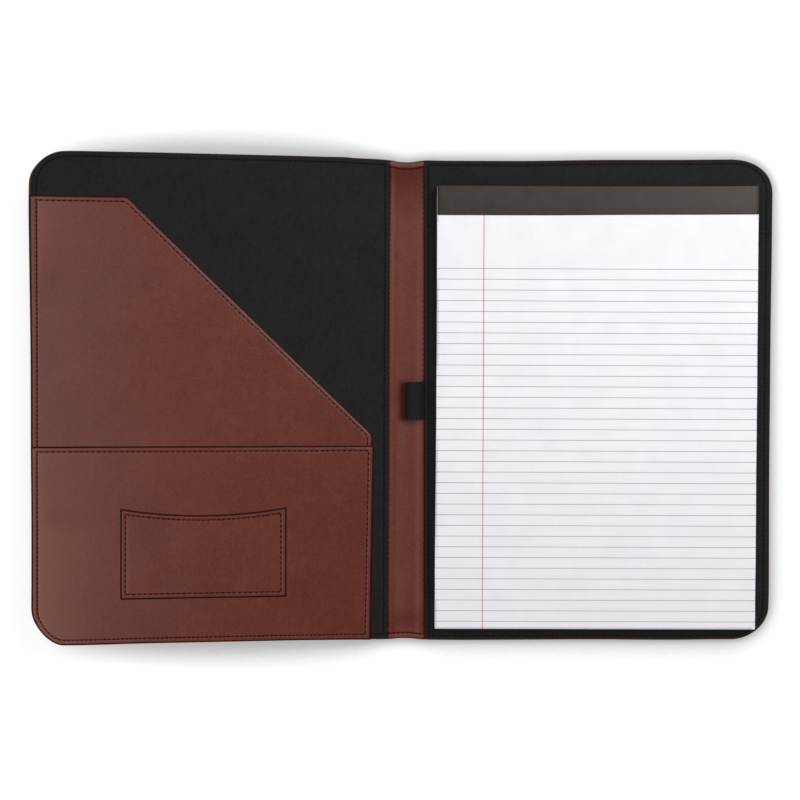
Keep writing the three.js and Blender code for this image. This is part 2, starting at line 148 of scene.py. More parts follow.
# How the sewn covers stray from a straight outline (mm outwards), read off the photo's edges.
HEAD_BOW = np.array([
    (-235, 0.0), (-229, 0.1), (-217, 0.45), (-204, 0.52), (-178, 0.70), (-138, 0.78), (-99, 0.83), (-72, 0.85),
    (-52, 0.80), (-45, 0.88), (-42.5, 0.94), (-38.5, 0.54), (-31, 0.28), (-21, 0.08), (-14.4, -0.2),
    (-9.5, -0.68), (-5.5, -1.52), (-0.8, -1.82), (4.0, -1.66), (9.4, -0.72), (13.5, -0.38), (17.5, -0.50),
    (23, -0.58), (50, -0.59), (77, -0.50), (131, 0.50), (186, 0.88), (213, 1.22), (226, 1.32), (247, 1.35)])
FOOT_BOW = np.array([
    (-235, -0.05), (-217, 0.25), (-204, 0.22), (-178, 0.0), (-138, 0.06), (-99, 0.13), (-72, 0.2), (-52, 0.42),
    (-38, 0.58), (-25, 0.76), (-14.4, 0.88), (-9.5, 0.70), (-5.5, 0.28), (-0.8, 0.12), (4.0, 0.24), (9.4, 0.80),
    (13.5, 1.0), (23, 1.12), (36, 1.2), (77, 0.93), (131, 0.58), (186, 0.72), (213, 0.34), (226, 0.28), (247, 0.3)])
FOOT_BOW[:, 1] -= np.interp(FOOT_BOW[:, 0], [-245, -30, -12, 12, 245], [0.62, 0.64, 0.20, 0.20, 0.20])
LEFT_BOW = np.array([
    (-150, 0.3), (-133, 0.14), (-100, 0.02), (-67, 0.05), (-34, 0.3), (0, 0.3), (32, 0.4), (65, 0.8), (98, 1.2),
    (131, 1.46), (144, 1.25), (152, 1.0)])
RIGHT_BOW = np.array([
    (-150, 0.6), (-135, 0.88), (-102, 0.8), (-68, 0.52), (-34, 0.36), (0, 0.38), (34, 0.32), (68, 0.4), (102, 0.6),
    (135, 0.65), (150, 0.8)])


def bow(table, v):
    """A smooth line through a table's points."""
    x, y = table[:, 0], table[:, 1]
    m = np.gradient(y, x)
    i = np.clip(np.searchsorted(x, v) - 1, 0, len(x) - 2)
    h = x[i + 1] - x[i]
    t = np.clip((v - x[i]) / h, 0, 1)
    a, b = t * t * (3 - 2 * t), t * t * t
    return (y[i] * (1 - a) + y[i + 1] * a + h * m[i] * (b - 2 * t * t + t) + h * m[i + 1] * (b - t * t))


def ends(p):
    """The covers' plan as it is sewn, from the straight outline."""
    x, y = p[:, 0], p[:, 1]
    w = smooth(110, 158, np.abs(y))
    dy = np.where(y > 0, bow(HEAD_BOW, x), -bow(FOOT_BOW, x)) * w
    dx = bow(RIGHT_BOW, y) * smooth(236, 247.5, x) - bow(LEFT_BOW, y) * smooth(-240.5, -248, x)
    return np.stack([x + dx, y + dy], 1)


# ---- Mesh making ------------------------------------------------------------------
def make(name, verts, faces, rest, tone=None, sharp=None):
    me = bpy.data.meshes.new(name)
    v = np.array(verts, float)
    w = v.copy()
    w[:, 0] += SHIFT_X
    me.from_pydata((w / 1000.0).tolist(), [], faces)
    me.update()
    me.validate(clean_customdata=False)
    n = len(me.vertices)
    a = me.attributes.new("rest", "FLOAT_VECTOR", "POINT")
    a.data.foreach_set("vector", np.array(rest, np.float32).reshape(n, 3).ravel())
    t = me.attributes.new("tone", "FLOAT", "POINT")
    t.data.foreach_set(
        "value", np.zeros(n, np.float32) if tone is None else np.array(tone, np.float32)
    )
    uv = me.uv_layers.new(name="plan")
    loops = np.zeros(len(me.loops), np.int32)
    me.loops.foreach_get("vertex_index", loops)
    r = np.array(rest, float)[loops]
    uv.data.foreach_set(
        "uv", np.stack([r[:, 0] / 600 + 0.5, r[:, 1] / 600 + 0.5], 1).astype(np.float32).ravel()
    )
    me.shade_smooth()
    if sharp is not None:
        s = me.attributes.new("sharp_edge", "BOOLEAN", "EDGE")
        ed = np.zeros(len(me.edges) * 2, np.int32)
        me.edges.foreach_get("vertices", ed)
        ed = ed.reshape(-1, 2)
        s.data.foreach_set("value", sharp(v, ed).astype(bool))
    ob = bpy.data.objects.new(name, me)
    bpy.context.scene.collection.objects.link(ob)
    return ob


class Corner:
    """A corner of an outline. cut_in and cut_out are the lengths that its rounding takes
    from the side before and the side after; keep holds them the same on every ring."""

    def __init__(self, x, y, cut_in=0.0, cut_out=None, full=0.552, n=1, keep=True):
        self.p = np.array([x, y], float)
        self.cut_in = cut_in
        self.cut_out = cut_in if cut_out is None else cut_out
        self.full, self.n, self.keep = full, n, keep


def side_points(c0, c1, spacing):
    return max(2, int(round(np.linalg.norm(c1.p - c0.p) / spacing)))


def ring(poly, offs, counts, closed=True):
    """One ring of an outline, its side i moved in by offs[i]. Anticlockwise from above.
    counts[i] is the list of places (0 to 1) on side i. Open outlines have no last side."""
    n = len(poly)
    m = n if closed else n - 1
    dirs, nor = [], []
    for i in range(m):
        d = poly[(i + 1) % n].p - poly[i].p
        d = d / np.linalg.norm(d)
        dirs.append(d)
        nor.append(np.array([-d[1], d[0]]))
    corners = []
    for i in range(n):
        if closed or 0 < i < n - 1:
            a, b = (i - 1) % m, i % m
            cross = dirs[a][0] * dirs[b][1] - dirs[a][1] * dirs[b][0]
            if abs(cross) < 1e-6:
                corners.append(poly[i].p + nor[b] * offs[b])
            else:
                pa, pb = poly[i].p + nor[a] * offs[a], poly[i].p + nor[b] * offs[b]
                r = pb - pa
                t = (r[0] * dirs[b][1] - r[1] * dirs[b][0]) / cross
                corners.append(pa + dirs[a] * t)
        elif i == 0:
            corners.append(poly[0].p + nor[0] * offs[0])
        else:
            corners.append(poly[i].p + nor[m - 1] * offs[m - 1])
    out = []
    for i in range(n):
        c, k = corners[i], poly[i]
        inner = closed or 0 < i < n - 1
        a, b = (i - 1) % m, i % m
        ci, co = k.cut_in, k.cut_out
        if not k.keep:
            o = max(offs[a], offs[b]) if inner else 0
            ci, co = max(ci - o, 1.5), max(co - o, 1.5)
        if inner and k.n > 1:
            s, e = c - dirs[a] * ci, c + dirs[b] * co
            t = np.linspace(0, 1, k.n)[:, None]
            p1, p2 = s + (c - s) * k.full, e + (c - e) * k.full
            out.extend(
                (1 - t) ** 3 * s + 3 * (1 - t) ** 2 * t * p1 + 3 * (1 - t) * t**2 * p2 + t**3 * e
            )
            start = e
        else:
            out.append(c)
            start = c
        if i < m:
            nxt, kn = corners[(i + 1) % n], poly[(i + 1) % n]
            last = not closed and i + 1 == n - 1
            ci2 = kn.cut_in
            if not kn.keep:
                o2 = max(offs[i], offs[(i + 1) % m])
                ci2 = max(ci2 - o2, 1.5)
            end = nxt - dirs[i] * ci2 if (kn.n > 1 and not last) else nxt
            for q in counts[i][1:-1]:
                out.append(start + (end - start) * q)
    return np.array(out)


def spread(n, dense_at=None, amount=0.0):
    """n + 1 places from 0 to 1, closer together at one end if asked."""
    t = np.linspace(0, 1, n + 1)
    if dense_at == "start":
        return t ** (1 + amount)
    if dense_at == "end":
        return 1 - (1 - t) ** (1 + amount)
    return t


def inside(poly, pts):
    x, y = pts[:, 0], pts[:, 1]
    hit = np.zeros(len(pts), bool)
    j = len(poly) - 1
    for i in range(len(poly)):
        (xi, yi), (xj, yj) = poly[i], poly[j]
        if yi != yj:
            c = ((yi > y) != (yj > y)) & (x < (xj - xi) * (y - yi) / (yj - yi) + xi)
            hit ^= c
        j = i
    return hit


def distance(poly, pts, closed=True):
    best = np.full(len(pts), 1e9)
    n = len(poly)
    for i in range(n if closed else n - 1):
        a, b = poly[i], poly[(i + 1) % n]
        d = b - a
        l2 = d @ d
        if l2 < 1e-12:
            continue
        t = np.clip(((pts - a) @ d) / l2, 0, 1)
        q = pts - (a + t[:, None] * d)
        best = np.minimum(best, np.hypot(q[:, 0], q[:, 1]))
    return best


def fill(loop, points, gap):
    """Triangles of the region inside `loop`, with extra points; returns (new points, triangles)."""
    if len(points):
        points = points[inside(loop, points)]
    if len(points):
        points = points[distance(loop, points) > gap]
    allp = np.vstack([loop, points]) if len(points) else loop
    n = len(loop)
    res = delaunay_2d_cdt(
        [tuple(p) for p in allp], [], [list(range(n))], 1, 1e-7
    )
    verts, faces, orig = res[0], res[2], res[3]
    back = [o[0] if o else -1 for o in orig]
    tris = []
    for f in faces:
        t = [back[i] for i in f]
        if -1 in t or len(set(t)) < 3:
            continue
        a, b, c = (allp[i] for i in t)
        if (b[0] - a[0]) * (c[1] - a[1]) - (b[1] - a[1]) * (c[0] - a[0]) < 0:
            t = t[::-1]
        tris.append(t)
    return allp[n:], tris


def grid(x0, x1, y0, y1, step, seed=3, jitter=0.18, columns=None):
    xs = np.arange(x0, x1, step) if columns is None else np.array(columns)
    ys = np.arange(y0, y1, step)
    r = np.random.default_rng(seed)
    gx, gy = np.meshgrid(xs, ys)
    gy = gy + (np.arange(len(xs)) % 2)[None, :] * step * 0.5
    p = np.stack([gx.ravel(), gy.ravel()], 1)
    if jitter:
        p = p + r.uniform(-1, 1, p.shape) * jitter * step
    return p


def loft(name, poly, profile, seam, spacing=4.0, points=None, plan=None, top=None,
         bottom=None, place=None, closed=True, counts=None, cap_line=None, gap=1.5, tint=None):
    """A closed sheet or slab over an outline.
    profile: rings from the bottom's middle, out over the edge and into the top's middle,
    each (a, b, z, share of top(), share of bottom(), tone). Side i of the ring is moved in
    by a + b * seam[i]. The outline's middle is filled with triangles through `points`.
    An open outline starts and ends on the line x = 0, which `cap_line` points close."""
    n = len(poly)
    m = n if closed else n - 1
    if counts is None:
        counts = [spread(side_points(poly[i], poly[(i + 1) % n], spacing)) for i in range(m)]
    raw = [ring(poly, [a + b * s for s in seam], counts, closed) for a, b, *_ in profile]
    size = len(raw[0])
    xy = [plan(r) if plan else r for r in raw]
    inner_raw = raw[-1]
    loop = inner_raw
    if not closed:
        loop = np.vstack([inner_raw, cap_line])
    pts = np.zeros((0, 2)) if points is None else points
    extra, tris = fill(loop, pts, gap)
    n_cap = 0 if closed else len(cap_line)

    verts, tones = [], []

    def put(p2, z, st, sb, tone):
        zz = np.full(len(p2), float(z))
        if top is not None and st:
            zz = zz + st * top(p2[:, 0], p2[:, 1])
        if bottom is not None and sb:
            zz = zz + sb * bottom(p2[:, 0], p2[:, 1])
        at = sum(len(v) for v in verts)
        verts.append(np.stack([p2[:, 0], p2[:, 1], zz], 1))
        tones.append(np.full(len(p2), float(tone)) + (0 if tint is None else tint(p2[:, 0], p2[:, 1], zz)))
        return at

    starts = [put(xy[k], *profile[k][2:]) for k in range(len(profile))]
    tail = np.vstack([cap_line, extra]) if not closed else extra
    if plan and len(tail):
        tail = plan(tail)
    b_in, t_in = profile[0], profile[-1]
    low = put(tail, *b_in[2:]) if len(tail) else 0
    high = put(tail, *t_in[2:]) if len(tail) else 0
    faces = []
    for k in range(len(profile) - 1):
        a, b = starts[k], starts[k + 1]
        for i in range(size if closed else size - 1):
            j = (i + 1) % size
            faces.append((a + i, a + j, b + j, b + i))

    def bot(i):
        return starts[0] + i if i < size else low + i - size

    def up(i):
        return starts[-1] + i if i < size else high + i - size

    for t in tris:
        faces.append(tuple(up(i) for i in t))
        faces.append(tuple(bot(i) for i in t[::-1]))
    if not closed:
        # the cut on x = 0: from the outline's last point back to its first
        line = [size - 1] + [size + i for i in range(n_cap)] + [0]
        for i, j in zip(line[:-1], line[1:]):
            faces.append((bot(i), bot(j), up(j), up(i)))
        for e, flip in ((size - 1, False), (0, True)):
            loop_f = [starts[k] + e for k in range(len(profile))]
            faces.append(tuple(loop_f if flip else loop_f[::-1]))
    v = np.vstack(verts)
    rest = v.copy()
    if place is not None:
        v = place(v)
    sharp = None
    if not closed:
        flat_x = rest[:, 0]

        def sharp(_, ed):
            return (np.abs(flat_x[ed[:, 0]]) < 1e-4) & (np.abs(flat_x[ed[:, 1]]) < 1e-4)

    return make(name, v, faces, rest, np.concatenate(tones), sharp)


# ---- Materials ----------------------------------------------------------------------
class Nodes:
    def __init__(self, name):
        self.mat = bpy.data.materials.new(name)
        self.mat.use_nodes = True
        self.t = self.mat.node_tree
        self.t.nodes.clear()
        self.out = self.t.nodes.new("ShaderNodeOutputMaterial")
        self.bsdf = self.t.nodes.new("ShaderNodeBsdfPrincipled")
        self.t.links.new(self.bsdf.outputs[0], self.out.inputs["Surface"])

    def link(self, a, b):
        self.t.links.new(a, b)

    def rest(self, scale=(1, 1, 1)):
        a = self.t.nodes.new("ShaderNodeAttribute")
        a.attribute_type = "GEOMETRY"
        a.attribute_name = "rest"
        m = self.t.nodes.new("ShaderNodeMapping")
        m.inputs["Scale"].default_value = scale
        self.link(a.outputs["Vector"], m.inputs["Vector"])
        return m.outputs["Vector"]

    def own(self, scale=(1, 1, 1)):
        a = self.t.nodes.new("ShaderNodeTexCoord")
        m = self.t.nodes.new("ShaderNodeMapping")
        m.inputs["Scale"].default_value = scale
        self.link(a.outputs["Object"], m.inputs["Vector"])
        return m.outputs["Vector"]

    def tone(self):
        a = self.t.nodes.new("ShaderNodeAttribute")
        a.attribute_type = "GEOMETRY"
        a.attribute_name = "tone"
        return a.outputs["Fac"]

    def noise(self, vec, scale, detail=3.0, rough=0.55, distortion=0.0):
        n = self.t.nodes.new("ShaderNodeTexNoise")
        n.inputs["Scale"].default_value = scale
        n.inputs["Detail"].default_value = detail
        n.inputs["Roughness"].default_value = rough
        n.inputs["Distortion"].default_value = distortion
        self.link(vec, n.inputs["Vector"])
        return n.outputs["Fac"]

    def cells(self, vec, scale, feature="SMOOTH_F1", randomness=1.0, smoothness=0.35):
        n = self.t.nodes.new("ShaderNodeTexVoronoi")
        n.feature = feature
        n.inputs["Scale"].default_value = scale
        n.inputs["Randomness"].default_value = randomness
        if feature == "SMOOTH_F1":
            n.inputs["Smoothness"].default_value = smoothness
        self.link(vec, n.inputs["Vector"])
        return n.outputs["Distance"]

    def math(self, op, a, b=None, c=None, clamp=False):
        n = self.t.nodes.new("ShaderNodeMath")
        n.operation = op
        n.use_clamp = clamp
        for i, v in enumerate((a, b, c)):
            if v is None:
                continue
            if isinstance(v, (int, float)):
                n.inputs[i].default_value = v
            else:
                self.link(v, n.inputs[i])
        return n.outputs[0]

    def span(self, v, a, b, c, d, clamp=True, kind="LINEAR"):
        n = self.t.nodes.new("ShaderNodeMapRange")
        n.clamp = clamp
        n.interpolation_type = kind
        self.link(v, n.inputs["Value"])
        for k, x in zip(("From Min", "From Max", "To Min", "To Max"), (a, b, c, d)):
            n.inputs[k].default_value = x
        return n.outputs["Result"]

    def mix(self, fac, a, b, kind="MIX"):
        n = self.t.nodes.new("ShaderNodeMix")
        n.data_type = "RGBA"
        n.blend_type = kind
        n.clamp_factor = True
        sock = {s.identifier: s for s in n.inputs}
        for key, v in (("Factor_Float", fac), ("A_Color", a), ("B_Color", b)):
            s = sock[key]
            if isinstance(v, (int, float)):
                s.default_value = v
            elif isinstance(v, tuple):
                s.default_value = (*v, 1.0)
            else:
                self.link(v, s)
        return next(s for s in n.outputs if s.identifier == "Result_Color")

    def split(self, vec):
        n = self.t.nodes.new("ShaderNodeSeparateXYZ")
        self.link(vec, n.inputs[0])
        return n.outputs

    def bump(self, height, distance, strength=1.0, normal=None):
        n = self.t.nodes.new("ShaderNodeBump")
        n.inputs["Strength"].default_value = strength
        n.inputs["Distance"].default_value = distance
        self.link(height, n.inputs["Height"])
        if normal is not None:
            self.link(normal, n.inputs["Normal"])
        return n.outputs["Normal"]

    def set(self, **k):
        for name, v in k.items():
            s = self.bsdf.inputs[name.replace("_", " ")]
            if isinstance(v, (int, float)):
                s.default_value = v
            elif isinstance(v, tuple):
                s.default_value = (*v, 1.0)
            else:
                self.link(v, s)
        return self.mat


def lin(r, g, b):
    def f(c):
        c = c / 255.0
        return c / 12.92 if c <= 0.04045 else ((c + 0.055) / 1.055) ** 2.4

    return (f(r), f(g), f(b))


def leather(name, base, dark, light, grain=1.0, rough=0.44):
    n = Nodes(name)
    v = n.rest()
    warp = n.noise(v, 0.9, 2.0)
    pebble = n.cells(v, 1.15, "SMOOTH_F1", 1.0, 0.45)
    creases = n.cells(v, 0.62, "DISTANCE_TO_EDGE", 1.0)
    fine = n.noise(v, 3.2, 3.0, 0.6)
    broad = n.noise(v, 0.028, 3.0, 0.5)
    patch = n.noise(v, 0.17, 2.0, 0.5)
    streak = n.noise(n.rest((0.42, 0.05, 0.42)), 1.0, 2.0, 0.5)
    # colour: broad unevenness, faint streaks and darker valleys; `tone` adds painted highlights and sheen above 0 (on
    # the hems partly wear too) and painted shade below 0
    k = n.math("ADD", n.math("MULTIPLY", broad, 0.5), n.math("MULTIPLY", patch, 0.3))
    k = n.math("ADD", k, n.math("MULTIPLY", streak, 0.2))
    col = n.mix(n.span(k, 0.38, 0.62, 0.0, 1.0), dark, base)
    col = n.mix(n.span(pebble, 0.15, 0.75, 0.0, 0.30), col, light)
    col = n.mix(n.span(creases, 0.0, 0.10, 0.22, 0.0), col, dark)
    tone = n.tone()
    # tone above 0: painted highlight in the light colour; below 0: painted shade in a darker copy of `dark`
    col = n.mix(n.span(tone, 0.0, 1.0, 0.0, 0.85), col, light)
    col = n.mix(n.span(tone, 0.0, -1.0, 0.0, 0.9), col, (dark[0] * 0.28, dark[1] * 0.36, dark[2] * 0.42))
    # height: pebbles with soft valleys between them
    h = n.math("ADD", n.math("MULTIPLY", pebble, -0.55), n.math("MULTIPLY", fine, 0.30))
    h = n.math("ADD", h, n.math("MULTIPLY", n.span(creases, 0.0, 0.12, 0.0, 1.0), 0.30))
    h = n.math("ADD", h, n.math("MULTIPLY", warp, 0.25))
    r = n.math("ADD", n.math("MULTIPLY", fine, 0.10), n.math("MULTIPLY", patch, 0.08))
    r = n.math("ADD", r, rough - 0.09)
    return n.set(
        Base_Color=col,
        Roughness=r,
        Normal=n.bump(h, 0.000055 * grain),
        Specular_IOR_Level=n.span(tone, 0.0, -0.5, 0.3, 0.03),
    )


def lining_cloth(name):
    n = Nodes(name)
    v = n.rest()
    fibre = n.noise(n.rest((1.0, 0.7, 1.0)), 1.6, 4.0, 0.65, 0.4)
    nap = n.noise(v, 0.33, 3.0, 0.6)
    broad = n.noise(v, 0.05, 2.0, 0.5)
    warp = n.noise(n.rest((0.9, 0.12, 0.9)), 1.0, 2.0, 0.5)
    k = n.math("ADD", n.math("MULTIPLY", fibre, 0.45), n.math("MULTIPLY", nap, 0.35))
    k = n.math("ADD", k, n.math("MULTIPLY", warp, 0.2))
    col = n.mix(n.span(k, 0.36, 0.66, 0.0, 1.0), lin(18, 17, 18), lin(34, 32, 33))
    col = n.mix(n.span(broad, 0.35, 0.65, 0.0, 0.25), col, lin(31, 31, 34))
    # tone below 0: painted shade at the cut edge and in the seam's groove
    col = n.mix(n.span(n.tone(), 0.0, -1.0, 0.0, 0.8), col, lin(7, 7, 9))
    r = n.span(fibre, 0.3, 0.7, 0.78, 0.94)
    h = n.math("ADD", n.math("MULTIPLY", fibre, 0.7), n.math("MULTIPLY", nap, 0.4))
    return n.set(
        Base_Color=col,
        Roughness=r,
        Normal=n.bump(h, 0.00007),
        Specular_IOR_Level=0.16,
        Sheen_Weight=0.03,
        Sheen_Roughness=0.5,
    )


def thread(name, dark, light):
    n = Nodes(name)
    v = n.rest()
    ply = n.noise(v, 2.6, 2.0, 0.5, 1.2)
    wear = n.noise(v, 0.25, 2.0)
    col = n.mix(n.span(ply, 0.35, 0.65, 0.0, 1.0), dark, light)
    col = n.mix(n.span(wear, 0.55, 0.8, 0.0, 0.25), col, light)
    r = n.span(ply, 0.3, 0.7, 0.5, 0.75)
    return n.set(Base_Color=col, Roughness=r, Normal=n.bump(ply, 0.00006), Specular_IOR_Level=0.1)


def elastic_band(name):
    n = Nodes(name)
    v = n.rest()
    x, y, z = n.split(v)
    rib = n.math("ABSOLUTE", n.math("SINE", n.math("MULTIPLY", y, math.pi / 1.5)))
    pick = n.math("ABSOLUTE", n.math("SINE", n.math("MULTIPLY", x, math.pi / 0.55)))
    fuzz = n.noise(v, 2.2, 3.0, 0.6)
    k = n.math("ADD", n.math("MULTIPLY", rib, 0.75), n.math("MULTIPLY", fuzz, 0.25))
    col = n.mix(n.span(k, 0.30, 0.85, 0.0, 1.0), lin(2, 2, 2), lin(20, 19, 21))
    h = n.math("ADD", n.math("MULTIPLY", pick, 0.3), n.math("MULTIPLY", fuzz, 0.3))
    h = n.math("ADD", h, n.math("MULTIPLY", rib, 0.8))
    return n.set(
        Base_Color=col,
        Roughness=n.span(fuzz, 0.3, 0.7, 0.62, 0.82),
        Normal=n.bump(h, 0.00012),
        Specular_IOR_Level=0.2,
        Sheen_Weight=0.03,
    )


def paper(name, ruled):
    n = Nodes(name)
    v = n.rest()
    fibre = n.noise(v, 1.3, 4.0, 0.6)
    cloud = n.noise(v, 0.06, 3.0, 0.5)
    k = n.math("ADD", n.math("MULTIPLY", fibre, 0.5), n.math("MULTIPLY", cloud, 0.5))
    col = n.mix(n.span(k, 0.35, 0.65, 0.0, 1.0), lin(230, 229, 234), lin(237, 236, 240))
    if ruled:
        x, y, z = n.split(v)
        # ruled lines: distance from the nearest line, only between the first and the last
        q = n.math("DIVIDE", n.math("SUBTRACT", LINE_FIRST, y), LINE_PITCH)
        d = n.math("MULTIPLY", n.math("ABSOLUTE", n.math("SUBTRACT", q, n.math("ROUND", q))), LINE_PITCH)
        ink = n.span(n.noise(n.rest((0.5, 8, 1)), 1.0, 2.0), 0.3, 0.7, 0.88, 1.0)
        on = n.span(d, 0.17, 0.25, 1.0, 0.0)
        on = n.math("MULTIPLY", on, n.math("GREATER_THAN", q, -0.5))
        on = n.math("MULTIPLY", on, n.math("LESS_THAN", q, LINE_COUNT - 0.5))
        col = n.mix(n.math("MULTIPLY", on, ink), col, lin(142, 141, 151))
        m = n.math("ABSOLUTE", n.math("SUBTRACT", x, MARGIN_X))
        col = n.mix(n.math("MULTIPLY", n.span(m, 0.22, 0.30, 1.0, 0.0), ink), col, lin(195, 52, 74))
        # painted shade: darker towards the foot of the sheet
        col = n.mix(n.span(y, 10.0, -150.0, 0.0, 0.13), col, lin(196, 193, 196))
    # tone below 0 paints shade
    tone = n.tone()
    col = n.mix(n.span(tone, 0.0, -1.0, 0.0, 1.0), col, lin(196, 193, 196))
    return n.set(
        Base_Color=col,
        Roughness=n.span(fibre, 0.3, 0.7, 0.72, 0.88),
        Normal=n.bump(k, 0.00003),
        Specular_IOR_Level=0.3,
    )


def page_edges(name):
    """The cut sides of the block: fine lines, one for each few sheets."""
    n = Nodes(name)
    v = n.rest()
    line = n.noise(n.rest((0.03, 0.03, 9.0)), 1.0, 3.0, 0.7)
    fibre = n.noise(v, 1.0, 3.0)
    col = n.mix(n.span(line, 0.35, 0.65, 0.0, 1.0), lin(205, 203, 207), lin(240, 239, 243))
    col = n.mix(n.span(fibre, 0.4, 0.8, 0.0, 0.2), col, lin(214, 210, 208))
    h = n.math("ADD", line, n.math("MULTIPLY", fibre, 0.2))
    return n.set(Base_Color=col, Roughness=n.span(fibre, 0.3, 0.7, 0.8, 0.92),
                 Normal=n.bump(h, 0.0001), Specular_IOR_Level=0.25)


def tape(name):
    n = Nodes(name)
    v = n.rest()
    x, y, z = n.split(v)
    fibre = n.noise(n.rest((1.0, 1.0, 1.0)), 1.15, 4.0, 0.7, 0.6)
    cloud = n.noise(v, 0.11, 3.0, 0.55)
    k = n.math("ADD", n.math("MULTIPLY", fibre, 0.6), n.math("MULTIPLY", cloud, 0.4))
    col = n.mix(n.span(k, 0.36, 0.66, 0.0, 1.0), lin(37, 31, 28), lin(54, 46.5, 42))
    # painted sheen: lighter towards the right end
    col = n.mix(n.span(x, 120.0, 236.0, 0.0, 0.22), col, lin(96, 86, 80))
    # tone above 0 lightens the tape's lower edge; below 0 paints shade
    edge = n.tone()
    col = n.mix(n.span(edge, 0.0, 1.0, 0.0, 0.5), col, lin(120, 112, 106))
    col = n.mix(n.span(edge, 0.0, -1.0, 0.0, 0.6), col, lin(26, 22, 20))
    return n.set(
        Base_Color=col,
        Roughness=n.span(fibre, 0.3, 0.7, 0.45, 0.60),
        Normal=n.bump(k, 0.00005),
        Specular_IOR_Level=0.28,
    )


def board(name):
    n = Nodes(name)
    v = n.own((1000, 1000, 1000))
    fleck = n.noise(v, 0.9, 4.0, 0.7, 0.5)
    cloud = n.noise(v, 0.05, 3.0)
    ply = n.noise(n.own((60, 60, 9000)), 1.0, 2.0)
    k = n.math("ADD", n.math("MULTIPLY", fleck, 0.5), n.math("MULTIPLY", cloud, 0.3))
    k = n.math("ADD", k, n.math("MULTIPLY", ply, 0.2))
    col = n.mix(n.span(k, 0.36, 0.64, 0.0, 1.0), lin(122, 112, 98), lin(163, 152, 136))
    col = n.mix(n.span(fleck, 0.68, 0.74, 0.0, 0.5), col, lin(92, 82, 70))
    return n.set(Base_Color=col, Roughness=n.span(fleck, 0.3, 0.7, 0.82, 0.95),
                 Normal=n.bump(k, 0.0001), Specular_IOR_Level=0.25)


def wire(name):
    n = Nodes(name)
    v = n.own((1000, 1000, 1000))
    draw = n.noise(n.own((200, 6000, 6000)), 1.0, 3.0)
    spot = n.noise(v, 1.2, 3.0)
    col = n.mix(n.span(draw, 0.3, 0.7, 0.0, 1.0), lin(150, 151, 153), lin(205, 206, 208))
    return n.set(Base_Color=col, Metallic=1.0, Roughness=n.span(spot, 0.3, 0.7, 0.25, 0.42),
                 Normal=n.bump(draw, 0.00002))


BROWN = lin(94, 39.5, 28)
BROWN_DARK = lin(82, 31, 20.5)
BROWN_LIGHT = lin(120, 68, 54)
M_INNER = leather("inner_leather", BROWN, BROWN_DARK, BROWN_LIGHT, 0.7, 0.32)
M_OUTER = leather("outer_leather", lin(86, 37, 28), lin(72, 28, 20), lin(112, 62, 50), 1.2, 0.36)
M_LINING = lining_cloth("black_lining")
M_BROWN_THREAD = thread("brown_thread", lin(30, 6, 4), lin(60, 15, 10))
M_BLACK_THREAD = thread("black_thread", lin(5, 7, 8), lin(13, 16, 18))
M_ELASTIC = elastic_band("elastic")
M_PAPER = paper("paper_ruled", True)
M_PAGES = page_edges("paper_edges")
M_TAPE = tape("binding_tape")
M_BOARD = board("chipboard")
M_WIRE = wire("steel_wire")


def dress(ob, *mats):
    for m in mats:
        ob.data.materials.append(m)
    return ob


# ---- Covers and the outside of the spine: one leather shell in two halves -------------
def shell_top(x, y):
    # under the strip that lines the spine the stack is thinner
    return -0.62 * (1 - smooth(13.0, 19.0, np.abs(x)))


def shell_bottom(x, y):
    return 0.16 + 0.13 * waves(x, y, 11, 70) * smooth(4, 30, np.abs(x))


# The last column is tone: painted shade along the top of the rolled edge and round its lower lip, and a lighter band
# on its outer face.
SHELL = [
    # bottom: padded face, pressed in along the seam
    (8.0, 1.0, 0.00, 0, 1, 0.0),
    (5.0, 1.0, 0.06, 0, 1, 0.0),
    (2.6, 1.0, 0.20, 0, 1, 0.1),
    (1.2, 1.0, 0.42, 0, 1, 0.2),
    (0.55, 1.0, 0.66, 0, 0.6, -0.2),
    (0.0, 1.0, 0.80, 0, 0.3, -0.5),
    (-0.55, 1.0, 0.66, 0, 0.2, -0.2),
    (-1.3, 1.0, 0.50, 0, 0.2, 0.35),
    (1.7, 0.0, 0.42, 0, 0.1, 0.4),
    (0.95, 0.0, 0.58, 0, 0, 0.3),
    (0.40, 0.0, 0.98, 0, 0, 0.15),
    (0.10, 0.0, 1.70, 0, 0, 0.0),
    (0.0, 0.0, 2.50, 0.3, 0, -0.1),
    (0.06, 0.0, 3.25, 0.6, 0, -0.15),
    (0.28, 0.0, 3.95, 1, 0, -0.2),
    (0.70, 0.0, 4.38, 1, 0, -0.25),
    (1.20, 0.0, 4.42, 1, 0, -0.4),
    (1.75, 0.0, 4.28, 1, 0, -0.5),
    (8.0, 1.0, 4.26, 1, 0, 0.0),
]
# the seam round a cover stands this far inside its outer, head and foot edges
SEAM_SIDE, SEAM_FOOT, SEAM_HEAD, SEAM_HEAD_BACK, SEAM_HEAD_FRONT = 4.35, 3.1, 3.6, 3.4, 3.8
SEAM_FOOT_FRONT = 3.75


def columns(side):
    """Places across the shell or strip: close together where it bends."""
    near = [0.7, 1.9, 3.1, 4.3, 5.3, 6.1, 6.9, 7.7, 8.5, 9.3, 10.1, 10.9, 11.7, 12.5, 13.4, 14.6, 16.2, 18.5]
    return [side * c for c in near]


def spine_counts(length):
    """Places on a side that starts at x = 0: close together up to 20 mm."""
    xs = [0.0, 0.7, 1.9, 3.1, 4.3, 5.3, 6.1, 6.9, 7.7, 8.5, 9.3, 10.1, 10.9, 11.7, 12.5, 13.4,
          14.6, 16.2, 18.5, 21.5, 25.0]
    rest_n = int((length - 25.0) / 4.0)
    xs = xs + list(25.0 + (length - 25.0) * np.linspace(0, 1, rest_n + 1)[1:])
    return np.array(xs) / length


CAP_N = 81


